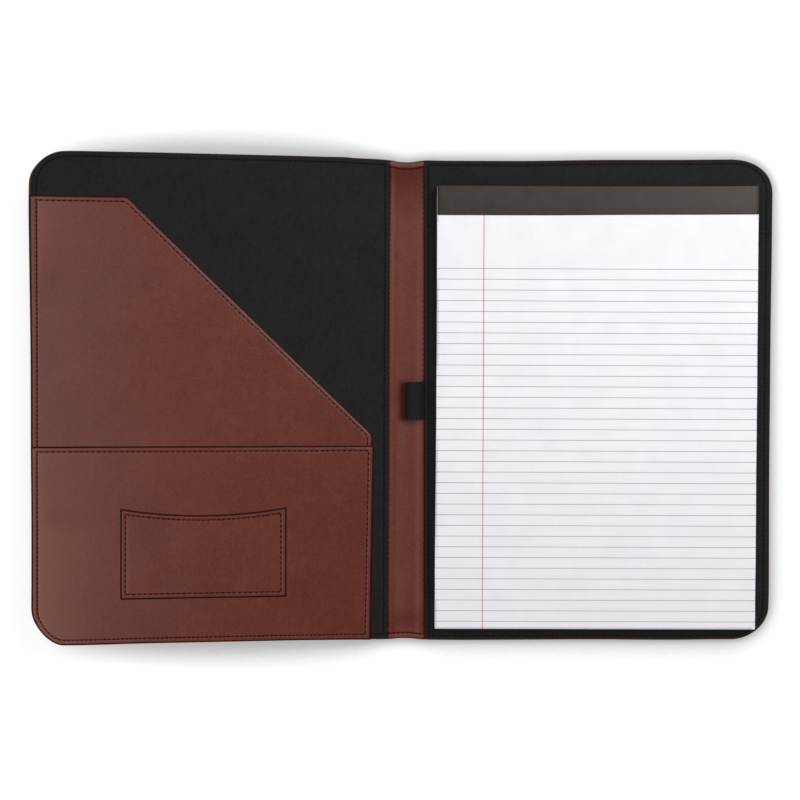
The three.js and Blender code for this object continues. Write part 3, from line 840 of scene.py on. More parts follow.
def cap_line(up):
    """Points on x = 0 between the two ends of a shell half's inner ring."""
    y = np.linspace(-HALF_H + 8.0 + SEAM_FOOT, HALF_H - 8.0 - SEAM_HEAD, CAP_N)[1:-1]
    if not up:
        y = y[::-1]
    return np.stack([np.zeros(len(y)), y], 1)


def shell_half(name, side):
    if side > 0:
        seams = [SEAM_FOOT, SEAM_SIDE, SEAM_HEAD]
        poly = [
            Corner(0, -HALF_H),
            Corner(OUT_R, -HALF_H, BACK_FOOT[0], BACK_FOOT[1], BACK_FOOT[2], 19, False),
            Corner(OUT_R, HALF_H, BACK_HEAD[1], BACK_HEAD[0], BACK_HEAD[2], 19, False),
            Corner(0, HALF_H),
        ]
        length = OUT_R
    else:
        seams = [SEAM_HEAD, SEAM_SIDE, SEAM_FOOT]
        poly = [
            Corner(0, HALF_H),
            Corner(OUT_L, HALF_H, FRONT_HEAD[0], FRONT_HEAD[1], FRONT_HEAD[2], 19, False),
            Corner(OUT_L, -HALF_H, FRONT_FOOT[1], FRONT_FOOT[0], FRONT_FOOT[2], 19, False),
            Corner(0, -HALF_H),
        ]
        length = -OUT_L
    first = spine_counts(length)
    counts = [first, spread(76), 1 - first[::-1]]
    near = grid(0, 0, -150, 151, 4.0, 5, 0.0, columns(side))
    far = grid(22.0, 236.0, -152, 153, 6.5, 6)
    far[:, 0] *= side
    return loft(
        name, poly, SHELL, seams, points=np.vstack([near, far]), plan=ends,
        top=shell_top, bottom=shell_bottom, place=lift if side < 0 else None,
        closed=False, counts=counts, cap_line=cap_line(side < 0), gap=0.35,
    )


back_shell = dress(shell_half("back_cover_shell", 1), M_OUTER)
front_shell = dress(shell_half("front_cover_shell", -1), M_OUTER)


def bend_back(ob):
    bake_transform(ob)


def bend_front(ob):
    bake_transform(ob)


bend_back(back_shell)
bend_front(front_shell)
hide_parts("back_outer_skin", "back_padding", "back_board", "spine_outer_skin", "spine_padding")
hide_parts("front_outer_skin", "front_padding", "front_board")


# ---- Strip that lines the spine ---------------------------------------------------------
def strip_top(x, y):
    ax = np.abs(x)
    ridge = 0.17 * np.exp(-(((ax - 10.4) / 1.6) ** 2)) - 0.09 * np.exp(-(((ax - 6.4) / 2.7) ** 2))
    head = -0.14 * np.exp(-(((y - 149.0) / 6.5) ** 2)) * (1 - smooth(7, 11.5, ax))
    foot = -0.10 * np.exp(-(((y + 151.0) / 5.0) ** 2)) * (1 - smooth(7, 11.5, ax))
    under = -0.12 * smooth(11.8, 13.2, ax)
    return ridge + head + foot + under + 0.10 * waves(x * 0.4, y, 21, 60) * smooth(0.5, 4, ax)


# The last column is tone: painted shade at the strip's edge and in its seam's groove, a painted highlight on the hem
# beside the seam.
STRIP = [
    (4.0, 1.0, 3.72, 0.6, 0, 0.0),
    (1.2, 0.0, 3.70, 0, 0, 0.0),
    (0.35, 0.0, 3.72, 0, 0, -0.3),
    (0.0, 0.0, 3.98, 0, 0, -0.2),
    (0.12, 0.0, 4.32, 0, 0, -0.4),
    (0.55, 0.0, 4.50, 0.2, 0, -0.25),
    (0.0, 0.50, 4.58, 0.5, 0, 0.35),
    (-0.75, 1.0, 4.48, 0.6, 0, 0.15),
    (-0.35, 1.0, 4.30, 0.6, 0, -0.4),
    (0.0, 1.0, 4.20, 0.6, 0, -0.8),
    (0.35, 1.0, 4.28, 0.7, 0, -0.4),
    (0.9, 1.0, 4.42, 0.8, 0, 0.0),
    (2.0, 1.0, 4.46, 1, 0, 0.0),
    (4.0, 1.0, 4.44, 1, 0, 0.0),
]
STRIP_EDGE = 17.0


def strip_tint(x, y, z):
    """Painted light and shade on the strip: a painted shadow in the fold beside each lining, a painted sheen next to
    it, painted shade below the head's seam and above the foot's, a painted highlight on the head's hem, and the pen
    loop's painted shadow beside it.
    """
    ax = np.abs(x) - np.where(x > 0, 1.6 * (162.6 - y) / 325.0, 0.0) + np.where(x < 0, 0.3, 0.0)
    # painted shadow in the fold beside each lining
    dark = -1.25 * smooth(11.0, 11.7, ax) * (1 - smooth(13.4, 14.2, ax))
    # painted sheen beside the fold's shadow, stronger in the upper half on the left
    edge_sheen = 0.42 * np.exp(-(((ax - 10.0) / 1.2) ** 2)) * np.where(x < 0, 1.0 + 0.9 * np.exp(-(((y - 78) / 38) ** 2)), 0.25)
    edge_sheen = edge_sheen * (0.75 + 0.25 * waves(x * 0, y, 24, 60)) * smooth(161, 140, np.abs(y))
    # painted shade below the head's seam and above the foot's
    low = -0.40 * smooth(116, 154, y) * (1 - smooth(157.6, 158.6, y)) - 0.22 * np.exp(-(((y + 149.0) / 6.0) ** 2))
    # painted highlight on the head's hem
    hem = 0.30 * smooth(158.2, 159.2, y) * (1 - smooth(161.2, 161.9, y))
    # painted shadow of the pen loop on the strip
    loop_shadow = -0.62 * np.exp(-(((x + 2.0) / 3.0) ** 2)) * smooth(-16.0, -12.5, y) * (1 - smooth(11.5, 14.5, y))
    return (dark + edge_sheen + low + hem + loop_shadow) * (z > 4.0)


STRIP_END = 0.55  # the strip stops this far inside the shell's own end
STRIP_HEAD, STRIP_FOOT = 4.2, 3.6  # seams, from the strip's two ends


def strip_half(name, side):
    h = HALF_H - STRIP_END
    a, b = Corner(0, -h), Corner(0, h)
    if side > 0:
        poly = [a, Corner(STRIP_EDGE, -h, 1.0, 1.0, 0.55, 4), Corner(STRIP_EDGE, h, 1.0, 1.0, 0.55, 4), b]
    else:
        poly = [b, Corner(-STRIP_EDGE, h, 1.0, 1.0, 0.55, 4), Corner(-STRIP_EDGE, -h, 1.0, 1.0, 0.55, 4), a]
    xs = np.array([0.0, 0.7, 1.5, 2.3, 3.1, 3.9, 4.7, 5.4, 6.1, 6.9, 7.7, 8.5, 9.3, 10.1, 10.9, 11.6, 12.3,
                   13.2, 14.4, STRIP_EDGE]) / STRIP_EDGE
    counts = [xs, spread(90), 1 - xs[::-1]]
    seams = [STRIP_FOOT, 0.12, STRIP_HEAD] if side > 0 else [STRIP_HEAD, 0.12, STRIP_FOOT]
    # the long side carries no seam of its own: its rings lie close together under the lining
    prof = [(min(p[0], 4.0) if p[1] == 0 else p[0], *p[1:]) for p in STRIP]
    y = np.linspace(-h + 4.0 + STRIP_FOOT, h - 4.0 - STRIP_HEAD, CAP_N)[1:-1]
    line = np.stack([np.zeros(len(y)), y if side < 0 else y[::-1]], 1)
    pts = grid(0, 0, -151, 152, 3.6, 9, 0.0, [side * c for c in
               [0.7, 1.5, 2.3, 3.1, 3.9, 4.7, 5.4, 6.1, 6.9, 7.7, 8.5, 9.3, 10.1, 10.9, 11.6, 12.3]])
    return loft(
        name, poly, prof, seams, points=pts, plan=ends, top=strip_top,
        place=lift if side < 0 else None, closed=False, counts=counts, cap_line=line, gap=0.3, tint=strip_tint,
    )


strip_back = dress(strip_half("spine_strip_right", 1), M_INNER)
strip_front = dress(strip_half("spine_strip_left", -1), M_INNER)
bend_back(strip_back)
bend_front(strip_front)
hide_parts("spine_inner_strip")


# ---- Panels: linings and pockets -----------------------------------------------------------
def hemmed(z0, t, hem=0.14, groove=0.14, rise=0.04, tone=0.06, skirt=0.0, dark=-1.0):
    """The rings of a thin panel with a turned edge and one seam beside it. The skirt is a thin flare round the edge,
    tinted dark: painted shade for the shadow line round the edge. In the last column, `dark` paints shade at the
    edge's foot and in the seam's groove, `tone` gives the hem a lighter band, partly painted sheen and partly wear,
    and the rings beside the seam carry a faint painted highlight."""
    z1 = z0 + t
    foot = [(0.30, 0.0, z0, 0.0, 0.0, dark)]
    if skirt:
        foot = [
            (0.10, 0.0, z0, 0.0, 0.0, dark),
            (-0.85 * skirt, 0.0, z0, 0.0, 0.0, dark),
            (-skirt, 0.0, z0 + 0.05, 0.0, 0.0, dark),
            (-0.8 * skirt, 0.0, z0 + 0.11, 0.0, 0.0, dark),
            (-0.10, 0.0, z0 + 0.16, 0.0, 0.0, dark),
        ]
    return [
        (6.5, 1.0, z0, 0.0, 1.0, 0.0),
        (1.2, 0.0, z0, 0.0, 0.0, -0.2),
        *foot,
        (0.0, 0.0, z0 + 0.40 * t, 0.0, 0.0, dark),
        (0.10, 0.0, z0 + 0.78 * t, 0.0, 0.0, 0.6 * dark),
        (0.38, 0.0, z0 + 0.98 * t, 0.05, 0.0, 0.2 * tone),
        (0.0, 0.36, z1 + 0.80 * hem, 0.1, 0.0, tone),
        (0.0, 0.58, z1 + hem, 0.15, 0.0, tone),
        (-0.85, 1.0, z1 + 0.72 * hem, 0.2, 0.0, 0.7 * tone),
        (-0.50, 1.0, z1 - 0.3 * groove, 0.2, 0.0, -0.15),
        (-0.22, 1.0, z1 - 0.9 * groove, 0.2, 0.0, 0.36 * dark),
        (0.0, 1.0, z1 - groove, 0.2, 0.0, 0.46 * dark),
        (0.22, 1.0, z1 - 0.9 * groove, 0.2, 0.0, 0.36 * dark),
        (0.50, 1.0, z1 - 0.4 * groove, 0.25, 0.0, -0.15),
        (0.95, 1.0, z1 + 0.05 * rise, 0.35, 0.0, 0.12),
        (1.7, 1.0, z1 + 0.7 * rise, 0.6, 0.0, 0.2 * tone),
        (3.4, 1.0, z1 + rise, 0.9, 0.0, 0.0),
        (6.5, 1.0, z1 + rise, 1.0, 0.0, 0.0),
    ]


def lining_rings(z0, t):
    """The rings of a cloth panel: a cut edge under the seam. The last column is tone: painted shade at the cut edge
    and in the seam's groove.
    """
    z1 = z0 + t
    return [
        (6.5, 1.0, z0, 0.0, 1.0, 0.0),
        (1.2, 0.0, z0, 0.0, 0.0, 0.0),
        (0.15, 0.0, z0, 0.0, 0.0, -0.4),
        (0.0, 0.0, z0 + 0.4 * t, 0.0, 0.0, -0.4),
        (0.08, 0.0, z0 + 0.85 * t, 0.0, 0.0, -0.1),
        (0.30, 0.0, z1, 0.05, 0.0, 0.0),
        (0.0, 0.5, z1 + 0.08, 0.1, 0.0, 0.0),
        (-0.9, 1.0, z1 + 0.06, 0.2, 0.0, 0.0),
        (-0.5, 1.0, z1 - 0.04, 0.2, 0.0, -0.2),
        (-0.2, 1.0, z1 - 0.18, 0.2, 0.0, -0.7),
        (0.0, 1.0, z1 - 0.20, 0.2, 0.0, -0.8),
        (0.2, 1.0, z1 - 0.18, 0.2, 0.0, -0.7),
        (0.5, 1.0, z1 - 0.04, 0.3, 0.0, -0.2),
        (0.9, 1.0, z1 + 0.02, 0.4, 0.0, 0.0),
        (3.4, 1.0, z1 + 0.02, 0.9, 0.0, 0.0),
        (6.5, 1.0, z1 + 0.02, 1.0, 0.0, 0.0),
    ]


# how far a lining or pocket stays inside the shell's outer, head and foot edges
RIM_LEFT, RIM_RIGHT, RIM_HEAD, RIM_FOOT = 1.25, 0.75, 0.65, 0.95


def front_foot(more=0.0):
    a, b = FRONT_FOOT[1] - RIM_LEFT - more, FRONT_FOOT[0] - RIM_FOOT - more
    return Corner(OUT_L + RIM_LEFT + more, -HALF_H + RIM_FOOT + more, a, b, FRONT_FOOT[2], 17, False)


def front_outline(x_in):
    """Corners of a lining cut to the front cover's outline."""
    a, b = FRONT_HEAD[0] - RIM_HEAD, FRONT_HEAD[1] - RIM_LEFT
    return [
        Corner(x_in, HALF_H - RIM_HEAD, 0.8, 0.8, 0.55, 4),
        Corner(OUT_L + RIM_LEFT, HALF_H - RIM_HEAD, a, b, FRONT_HEAD[2], 17, False),
        front_foot(),
        Corner(x_in + 0.15, -HALF_H + RIM_FOOT, 0.8, 0.8, 0.55, 4),
    ]


def back_foot(more=0.0):
    a, b = BACK_FOOT[0] - RIM_FOOT - more, BACK_FOOT[1] - RIM_RIGHT - more
    return Corner(OUT_R - RIM_RIGHT - more, -HALF_H + RIM_FOOT + more, a, b, BACK_FOOT[2], 17, False)


def back_outline(x_head, x_foot):
    a, b = BACK_HEAD[1] - RIM_RIGHT, BACK_HEAD[0] - RIM_HEAD
    return [
        Corner(x_foot, -HALF_H + RIM_FOOT, 0.8, 0.8, 0.55, 4),
        back_foot(),
        Corner(OUT_R - RIM_RIGHT, HALF_H - RIM_HEAD, a, b, BACK_HEAD[2], 17, False),
        Corner(x_head, HALF_H - RIM_HEAD, 0.8, 0.8, 0.55, 4),
    ]


def lining_top_front(x, y):
    return 0.07 * waves(x, y, 31, 48)


front_lining = dress(
    loft("front_cover_lining", front_outline(-12.3), lining_rings(4.30, 0.62),
         [SEAM_HEAD_FRONT - RIM_HEAD, SEAM_SIDE - RIM_LEFT, SEAM_FOOT_FRONT - RIM_FOOT, 2.3], 3.6,
         grid(-245, -15, -158, 160, 7.0, 12), ends, lining_top_front, None, lift),
    M_LINING)
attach(front_lining, "front_cover")
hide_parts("front_lining")


def lining_top_back(x, y):
    return 0.06 * waves(x, y, 32, 50)


back_lining = dress(
    loft("back_cover_lining", back_outline(11.85, 13.7), lining_rings(4.30, 0.62),
         [SEAM_FOOT - RIM_FOOT, SEAM_SIDE - RIM_RIGHT, SEAM_HEAD_BACK - RIM_HEAD, 2.6], 3.6,
         grid(15, 246, -158, 160, 7.0, 13), ends, lining_top_back, None, None),
    M_LINING)
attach(back_lining, "back_cover")
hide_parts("back_lining")


# Pad pocket: a cloth panel over the cardboard back of the pad, open at the head.
def over_board(x, y):
    d = np.minimum(np.minimum(x - (PAD_L - 0.4), (PAD_R + 0.4) - x), y - (PAD_FOOT - 0.4))
    return smooth(-3.6, 0.4, d)


def pad_pocket_top(x, y):
    return 1.78 * over_board(x, y) + 0.06 * waves(x, y, 33, 46)


def pad_pocket_low(x, y):
    return 1.72 * over_board(x, y)


def pad_pocket_panel():
    z0, t = 5.0, 0.5
    z1 = z0 + t
    prof = [
        # a (from the edge), b (seam), z, top share, bottom share, tone (painted shade in the seam's groove)
        (7.5, 1.0, z0, 0, 1, 0),
        (3.4, 1.0, z0, 0, 1, 0),
        (0.8, 1.0, z0, 0, 1, 0),
        (0.3, 0.0, z0, 0, 1, 0),
        (0.0, 0.0, z0 + 0.25, 0, 1, 0),
        (0.08, 0.0, z0 + 0.40, 0.5, 0.5, 0),
        (0.35, 0.0, z1, 1, 0, 0),
        (0.0, 0.5, z1 + 0.05, 1, 0, 0),
        (-0.6, 1.0, z1 + 0.02, 1, 0, 0),
        (-0.3, 1.0, z1 - 0.10, 1, 0, -0.3),
        (0.0, 1.0, z1 - 0.20, 1, 0, -0.5),
        (0.3, 1.0, z1 - 0.10, 1, 0, -0.3),
        (0.8, 1.0, z1, 1, 0, 0),
        (1.8, 1.0, z1 + 0.02, 1, 0, 0),
        (3.4, 1.0, z1 + 0.02, 1, 0, 0),
        (7.5, 1.0, z1 + 0.02, 1, 0, 0),
    ]
    poly = [
        Corner(13.9, -HALF_H + RIM_FOOT + 0.2, 0.8, 0.8, 0.55, 4),
        back_foot(0.2),
        Corner(OUT_R - RIM_RIGHT - 0.2, POCKET_MOUTH, 0.8, 0.8, 0.55, 4),
        Corner(12.32, POCKET_MOUTH, 0.8, 0.8, 0.55, 4),
    ]
    seams = [SEAM_FOOT - RIM_FOOT - 0.2, SEAM_SIDE - RIM_RIGHT - 0.2, 2.6, 2.4]
    return loft("pad_pocket_panel", poly, prof, seams, 3.4, grid(16, 246, -158, 112, 6.0, 14), ends,
                pad_pocket_top, pad_pocket_low)


pad_pocket = dress(pad_pocket_panel(), M_LINING)
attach(pad_pocket, "back_cover")
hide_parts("pad_pocket")

# Leather pockets of the front cover
DOC_Z, DOC_T = 4.94, 0.78
LOW_Z, LOW_T = 5.86, 0.78
CARD_Z, CARD_T = 6.88, 0.74
# width of the dark skirt round each pocket: painted shade for the shadow line along its edge
SHADE_SKIRT = 0.85


def doc_top(x, y):
    return 0.16 * waves(x, y, 41, 75)


def low_top(x, y):
    return 0.14 * waves(x, y, 42, 65)


def doc_low(x, y):
    return np.zeros(np.broadcast(x, y).shape)


def doc_tint(x, y, z):
    """Painted sheen beside the outer seam, towards the head, but not down in the seams."""
    d = x - (OUT_L + SEAM_SIDE)
    t = 0.60 * np.exp(-np.maximum(d, 0) / 10.0) * smooth(60, 105, y) * smooth(0.3, 1.2, d)
    return t * smooth(DOC_Z + DOC_T - 0.12, DOC_Z + DOC_T - 0.04, z)


def low_tint(x, y, z):
    """Painted sheen beside the outer seam and on the hem outside it, more towards the foot, but not down in the seams.
    """
    d = x - (OUT_L + SEAM_SIDE)
    t = 0.55 * np.exp(-np.maximum(d, 0) / 7.0) + 0.45 * (1 - smooth(8.0, 50.0, d))
    t = t * (0.45 + 0.55 * smooth(-45, -95, y)) * smooth(0.3, 1.2, d) + 0.28 * (1 - smooth(-1.2, -0.5, d))
    return t * smooth(LOW_Z + LOW_T - 0.12, LOW_Z + LOW_T - 0.04, z)


def document_pocket():
    poly = [
        Corner(DOC_SHOULDER, DOC_MOUTH, 1.2, 1.2, 0.6, 4),
        Corner(OUT_L + RIM_LEFT + 0.1, DOC_MOUTH, 0.5, 0.5, 0.55, 3),
        front_foot(0.1),
        Corner(POCKET_R, -HALF_H + RIM_FOOT + 0.1, 0.6, 0.6, 0.55, 3),
        Corner(POCKET_R, DOC_SLANT_END, 1.7, 1.7, 0.6, 5),
    ]
    seams = [2.55, SEAM_SIDE - RIM_LEFT - 0.1, SEAM_FOOT_FRONT - RIM_FOOT - 0.1, 2.6, 2.4]
    pts = grid(-242, -30, -155, 128, 6.5, 15)
    return loft("document_pocket_panel", poly, hemmed(DOC_Z, DOC_T, skirt=SHADE_SKIRT), seams, 3.2, pts, ends,
                doc_top, doc_low, lift, tint=doc_tint)


LOW_HEAD_X, LOW_FOOT_X = POCKET_R + 0.8, POCKET_R - 1.05


def lower_pocket():
    poly = [
        Corner(LOW_HEAD_X, LOW_MOUTH, 1.4, 1.4, 0.6, 5),
        Corner(OUT_L + RIM_LEFT + 0.1, LOW_MOUTH, 0.5, 0.5, 0.55, 3),
        front_foot(0.1),
        Corner(LOW_FOOT_X, -HALF_H + RIM_FOOT + 0.1, 0.6, 0.6, 0.55, 3),
    ]
    seams = [2.6, SEAM_SIDE - RIM_LEFT - 0.1, SEAM_FOOT_FRONT - RIM_FOOT - 0.1, 2.7]
    pts = grid(-242, -30, -155, -36, 6.0, 16)
    return loft("lower_pocket_panel", poly, hemmed(LOW_Z, LOW_T, skirt=SHADE_SKIRT), seams, 3.2, pts, ends,
                low_top, doc_low, lift, tint=low_tint)


def thumb(p):
    """The dip in the card pocket's mouth."""
    x, y = p[:, 0], p[:, 1]
    c, h = (CARD_X[0] + CARD_X[1]) / 2, (CARD_X[1] - CARD_X[0]) / 2
    u = np.clip((x - c) / h, -1, 1)
    drop = CARD_DIP * (1 - u * u)
    w = smooth(CARD_Y[0] + 12, CARD_Y[1] - 2.0, y)
    return np.stack([x, y - drop * w], 1)


def card_top(x, y):
    return 0.10 * waves(x, y, 43, 40)


def card_pocket():
    r = dict(full=0.55, n=4)
    poly = [
        Corner(CARD_X[1], CARD_Y[1], 0.8, 0.8, **r),
        Corner(CARD_X[0], CARD_Y[1], 0.8, 0.8, **r),
        Corner(CARD_X[0], CARD_Y[0], 0.8, 0.8, **r),
        Corner(CARD_X[1], CARD_Y[0], 0.8, 0.8, **r),
    ]
    pts = grid(CARD_X[0] + 8, CARD_X[1] - 8, CARD_Y[0] + 8, CARD_Y[1] - 8, 4.5, 17)
    return loft("card_pocket_panel", poly, hemmed(CARD_Z, CARD_T, skirt=SHADE_SKIRT), [2.4, 2.35, 2.7, 2.7], 2.6,
                pts, thumb, card_top, doc_low, lift)


doc = dress(document_pocket(), M_INNER)
low = dress(lower_pocket(), M_INNER)
card = dress(card_pocket(), M_INNER)
for ob, node in ((doc, "document_pocket"), (low, "lower_pocket"), (card, "card_pocket")):
    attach(ob, "front_cover")
    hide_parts(node)


# ---- Seams: one stitch after another -----------------------------------------------------
def along(path, s):
    """Points and directions at lengths s of a path."""
    d = np.diff(path, axis=0)
    l = np.hypot(d[:, 0], d[:, 1])
    cum = np.concatenate([[0], np.cumsum(l)])
    i = np.clip(np.searchsorted(cum, s, side="right") - 1, 0, len(l) - 1)
    t = (s - cum[i]) / np.maximum(l[i], 1e-9)
    return path[i] + d[i] * t[:, None], d[i] / np.maximum(l[i], 1e-9)[:, None]


def length(path):
    return float(np.sum(np.hypot(*np.diff(path, axis=0).T)))


def stitches(name, runs, pitch, mat, body, nodes=(), place=None, share=0.73,
             width=1.15, height=0.36, slant=0.07, down=False, seed=1):
    """Every stitch of a seam as its own small arched strand, its ends sunk in the leather.
    runs: [(path in plan, height of the face under the seam)], height a number or f(x, y)."""
    r = np.random.default_rng(seed)
    us = np.array([-1.0, -0.82, -0.45, 0.0, 0.45, 0.82, 1.0])
    rise = np.array([-0.75, 0.12, 0.82, 1.0, 0.82, 0.12, -0.75])
    wide = np.array([0.45, 0.82, 1.0, 1.0, 1.0, 0.82, 0.45])
    ang = np.linspace(0, 2 * math.pi, 7)[:-1]
    verts, faces = [], []
    for path, face in runs:
        path = np.array(path, float)
        total = length(path)
        count = max(1, int(round(total / pitch)))
        step = total / count
        for k in range(count):
            mid = (k + 0.5) * step + r.uniform(-0.04, 0.04) * step
            half = step * share / 2 * r.uniform(0.94, 1.06)
            s = np.clip(mid + us * half, 0.02, total - 0.02)
            p, d = along(path, s)
            nrm = np.stack([-d[:, 1], d[:, 0]], 1)
            tilt = slant * r.uniform(0.6, 1.4)
            p = p + nrm * (us * half * tilt)[:, None]
            z = face(p[:, 0], p[:, 1]) if callable(face) else np.full(len(s), float(face))
            base = len(verts)
            sign = -1.0 if down else 1.0
            for j in range(len(us)):
                w = width / 2 * wide[j]
                for a in ang:
                    q = p[j] + nrm[j] * (w * math.cos(a))
                    zz = z[j] + sign * (height * 0.5 * rise[j] + height * 0.5 * wide[j] * math.sin(a))
                    verts.append((q[0], q[1], zz))
            m = len(ang)
            for j in range(len(us) - 1):
                for i in range(m):
                    i2 = (i + 1) % m
                    quad = (base + j * m + i, base + (j + 1) * m + i, base + (j + 1) * m + i2, base + j * m + i2)
                    faces.append(quad if down else quad[::-1])
            first = tuple(base + i for i in range(m))
            last = tuple(base + (len(us) - 1) * m + i for i in range(m))
            faces.append(first if down else first[::-1])
            faces.append(last[::-1] if down else last)
    v = np.array(verts)
    rest = v.copy()
    if place is not None:
        v = place(v)
    ob = dress(make(name, v, faces, rest), mat)
    if body is not None:
        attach(ob, body)
    if nodes:
        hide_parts(*nodes)
    return ob


def open_run(poly, insets, spacing=1.5):
    """The open run round a cover, `insets` inside its sides, in plan."""
    n = len(poly)
    counts = [spread(side_points(poly[i], poly[i + 1], spacing)) for i in range(n - 1)]
    return ends(ring(poly, insets, counts, closed=False))


def cover_poly(side, x_in):
    if side > 0:
        return [
            Corner(x_in, -HALF_H),
            Corner(OUT_R, -HALF_H, BACK_FOOT[0], BACK_FOOT[1], BACK_FOOT[2], 25, False),
            Corner(OUT_R, HALF_H, BACK_HEAD[1], BACK_HEAD[0], BACK_HEAD[2], 25, False),
            Corner(x_in, HALF_H),
        ]
    return [
        Corner(x_in, HALF_H),
        Corner(OUT_L, HALF_H, FRONT_HEAD[0], FRONT_HEAD[1], FRONT_HEAD[2], 25, False),
        Corner(OUT_L, -HALF_H, FRONT_FOOT[1], FRONT_FOOT[0], FRONT_FOOT[2], 25, False),
        Corner(x_in, -HALF_H),
    ]


def cut_y(path, at):
    """A path in two where it crosses y = at for the first time."""
    for i in range(1, len(path)):
        a, b = path[i - 1], path[i]
        if (a[1] - at) * (b[1] - at) < 0:
            m = a + (b - a) * ((at - a[1]) / (b[1] - a[1]))
            return np.vstack([path[:i], m]), np.vstack([m, path[i:]])
    return path, path[-1:]


def cut_x(path, at):
    p, q = cut_y(path[:, ::-1], at)
    return p[:, ::-1], q[:, ::-1]


LINING_Z = 4.92 - 0.17
FRONT_SEAMS = [SEAM_HEAD_FRONT, SEAM_SIDE, SEAM_FOOT_FRONT]
BACK_SEAMS = [SEAM_FOOT, SEAM_SIDE, SEAM_HEAD_BACK]
front_run = open_run(cover_poly(-1, -15.0), FRONT_SEAMS)
f_head, f_rest = cut_y(front_run, DOC_MOUTH - 0.3)
f_side, f_low = cut_y(f_rest, LOW_MOUTH - 0.3)
f_foot, f_tail = cut_x(f_low, LOW_FOOT_X - 0.4)
doc_z = DOC_Z + DOC_T - 0.26
low_z = LOW_Z + LOW_T - 0.26
card_z = CARD_Z + CARD_T - 0.26
stitches("front_edge_stitches_black", [(f_head, LINING_Z), (f_tail, LINING_Z)], 2.9, M_BLACK_THREAD,
         "front_cover", (), lift, seed=51)
stitches("front_edge_stitches_brown", [(f_side, doc_z), (f_foot, low_z)], 2.9, M_BROWN_THREAD,
         "front_cover", ("front_edge_thread",), lift, share=0.82, seed=52)
hx = -12.2 - 2.3
stitches("front_hinge_stitches", [(np.array([[hx, 157.6], [hx, -158.2]]), LINING_Z)], 2.9, M_BLACK_THREAD,
         "front_cover", ("front_hinge_thread",), lift, seed=53)

# document pocket: mouth, slant and short right side
k_in, s_in, r_in = 2.55, 2.4, 2.6
dx, dy = POCKET_R - DOC_SHOULDER, DOC_SLANT_END - DOC_MOUTH
dl = math.hypot(dx, dy)
nx_, ny_ = dy / dl, -dx / dl  # inward from the slant


def meet(y=None, x=None):
    """Where the seam beside the slant crosses a level or an upright line."""
    px, py = DOC_SHOULDER + nx_ * s_in, DOC_MOUTH + ny_ * s_in
    if y is not None:
        return px + dx * (y - py) / dy, y
    return x, py + dy * (x - px) / dx


p1 = meet(y=DOC_MOUTH - k_in)
p2 = meet(x=POCKET_R - r_in)
stitches(
    "document_pocket_stitches",
    [
        (np.array([[OUT_L + SEAM_SIDE + 0.8, DOC_MOUTH - k_in], p1]), doc_z),
        (np.array([p1, p2]), doc_z),
        (np.array([p2, [POCKET_R - r_in, LOW_MOUTH + 0.5]]), doc_z),
    ],
    3.75, M_BROWN_THREAD, "front_cover", ("document_pocket_thread",), lift, seed=54)
lx, lx_foot = LOW_HEAD_X - 2.7, LOW_FOOT_X - 2.7
stitches(
    "lower_pocket_stitches",
    [
        (np.array([[OUT_L + SEAM_SIDE + 0.8, LOW_MOUTH - 2.6], [lx, LOW_MOUTH - 2.6]]), low_z),
        (np.array([[lx, LOW_MOUTH - 2.6], [lx_foot, -HALF_H + SEAM_FOOT_FRONT - 0.3]]), low_z),
    ],
    3.65, M_BROWN_THREAD, "front_cover", ("lower_pocket_thread",), lift, seed=55)
c0, c1 = CARD_X[0] + 2.35, CARD_X[1] - 2.7
cy = CARD_Y[0] + 2.7


def thumb_line(y, x0, x1, n=60):
    return thumb(np.stack([np.linspace(x0, x1, n), np.full(n, y)], 1))


mouth = thumb_line(CARD_Y[1] - 2.4, c0 + 0.4, c1 - 0.4)
stitches(
    "card_pocket_stitches",
    [
        (np.array([mouth[0], [c0, cy]]), card_z),
        (np.array([[c0, cy], [c1, cy]]), card_z),
        (np.array([[c1, cy], mouth[-1]]), card_z),
    ],
    3.6, M_BROWN_THREAD, "front_cover", ("card_pocket_thread",), lift, seed=56)
stitches("card_mouth_stitches", [(mouth, card_z)], 3.3, M_BROWN_THREAD, "front_cover",
         ("card_mouth_thread",), lift, seed=57)

# back cover
back_run = open_run(cover_poly(1, 15.3), BACK_SEAMS)
b_low, b_up = cut_y(back_run, POCKET_MOUTH - 0.4)
pocket_seam = 5.5 - 0.17


def pocket_face(x, y):
    return pocket_seam + pad_pocket_top(x, y)


stitches("back_edge_stitches", [(b_low, pocket_face), (b_up, LINING_Z)], 2.9, M_BLACK_THREAD,
         "back_cover", ("back_edge_thread",), None, seed=58)
stitches("back_hinge_stitches",
         [(np.array([[14.45, 158.2], [14.7, POCKET_MOUTH + 0.3]]), LINING_Z),
          (np.array([[14.7, POCKET_MOUTH - 0.3], [16.25, -158.6]]), pocket_face)],
         2.9, M_BLACK_THREAD, "back_cover", ("back_hinge_thread",), None, seed=59)

# the same seams on the outside of the covers
def outside_face(x, y):
    return 0.80 + 0.3 * shell_bottom(x, y)


stitches("front_outside_stitches", [(open_run(cover_poly(-1, -14.0), [SEAM_HEAD, SEAM_SIDE, SEAM_FOOT]), outside_face)], 2.9, M_BROWN_THREAD,
         "front_cover", (), lift, down=True, seed=60)
stitches("back_outside_stitches", [(open_run(cover_poly(1, 14.0), [SEAM_FOOT, SEAM_SIDE, SEAM_HEAD]), outside_face)], 2.9, M_BROWN_THREAD,
         "back_cover", (), None, down=True, seed=61)

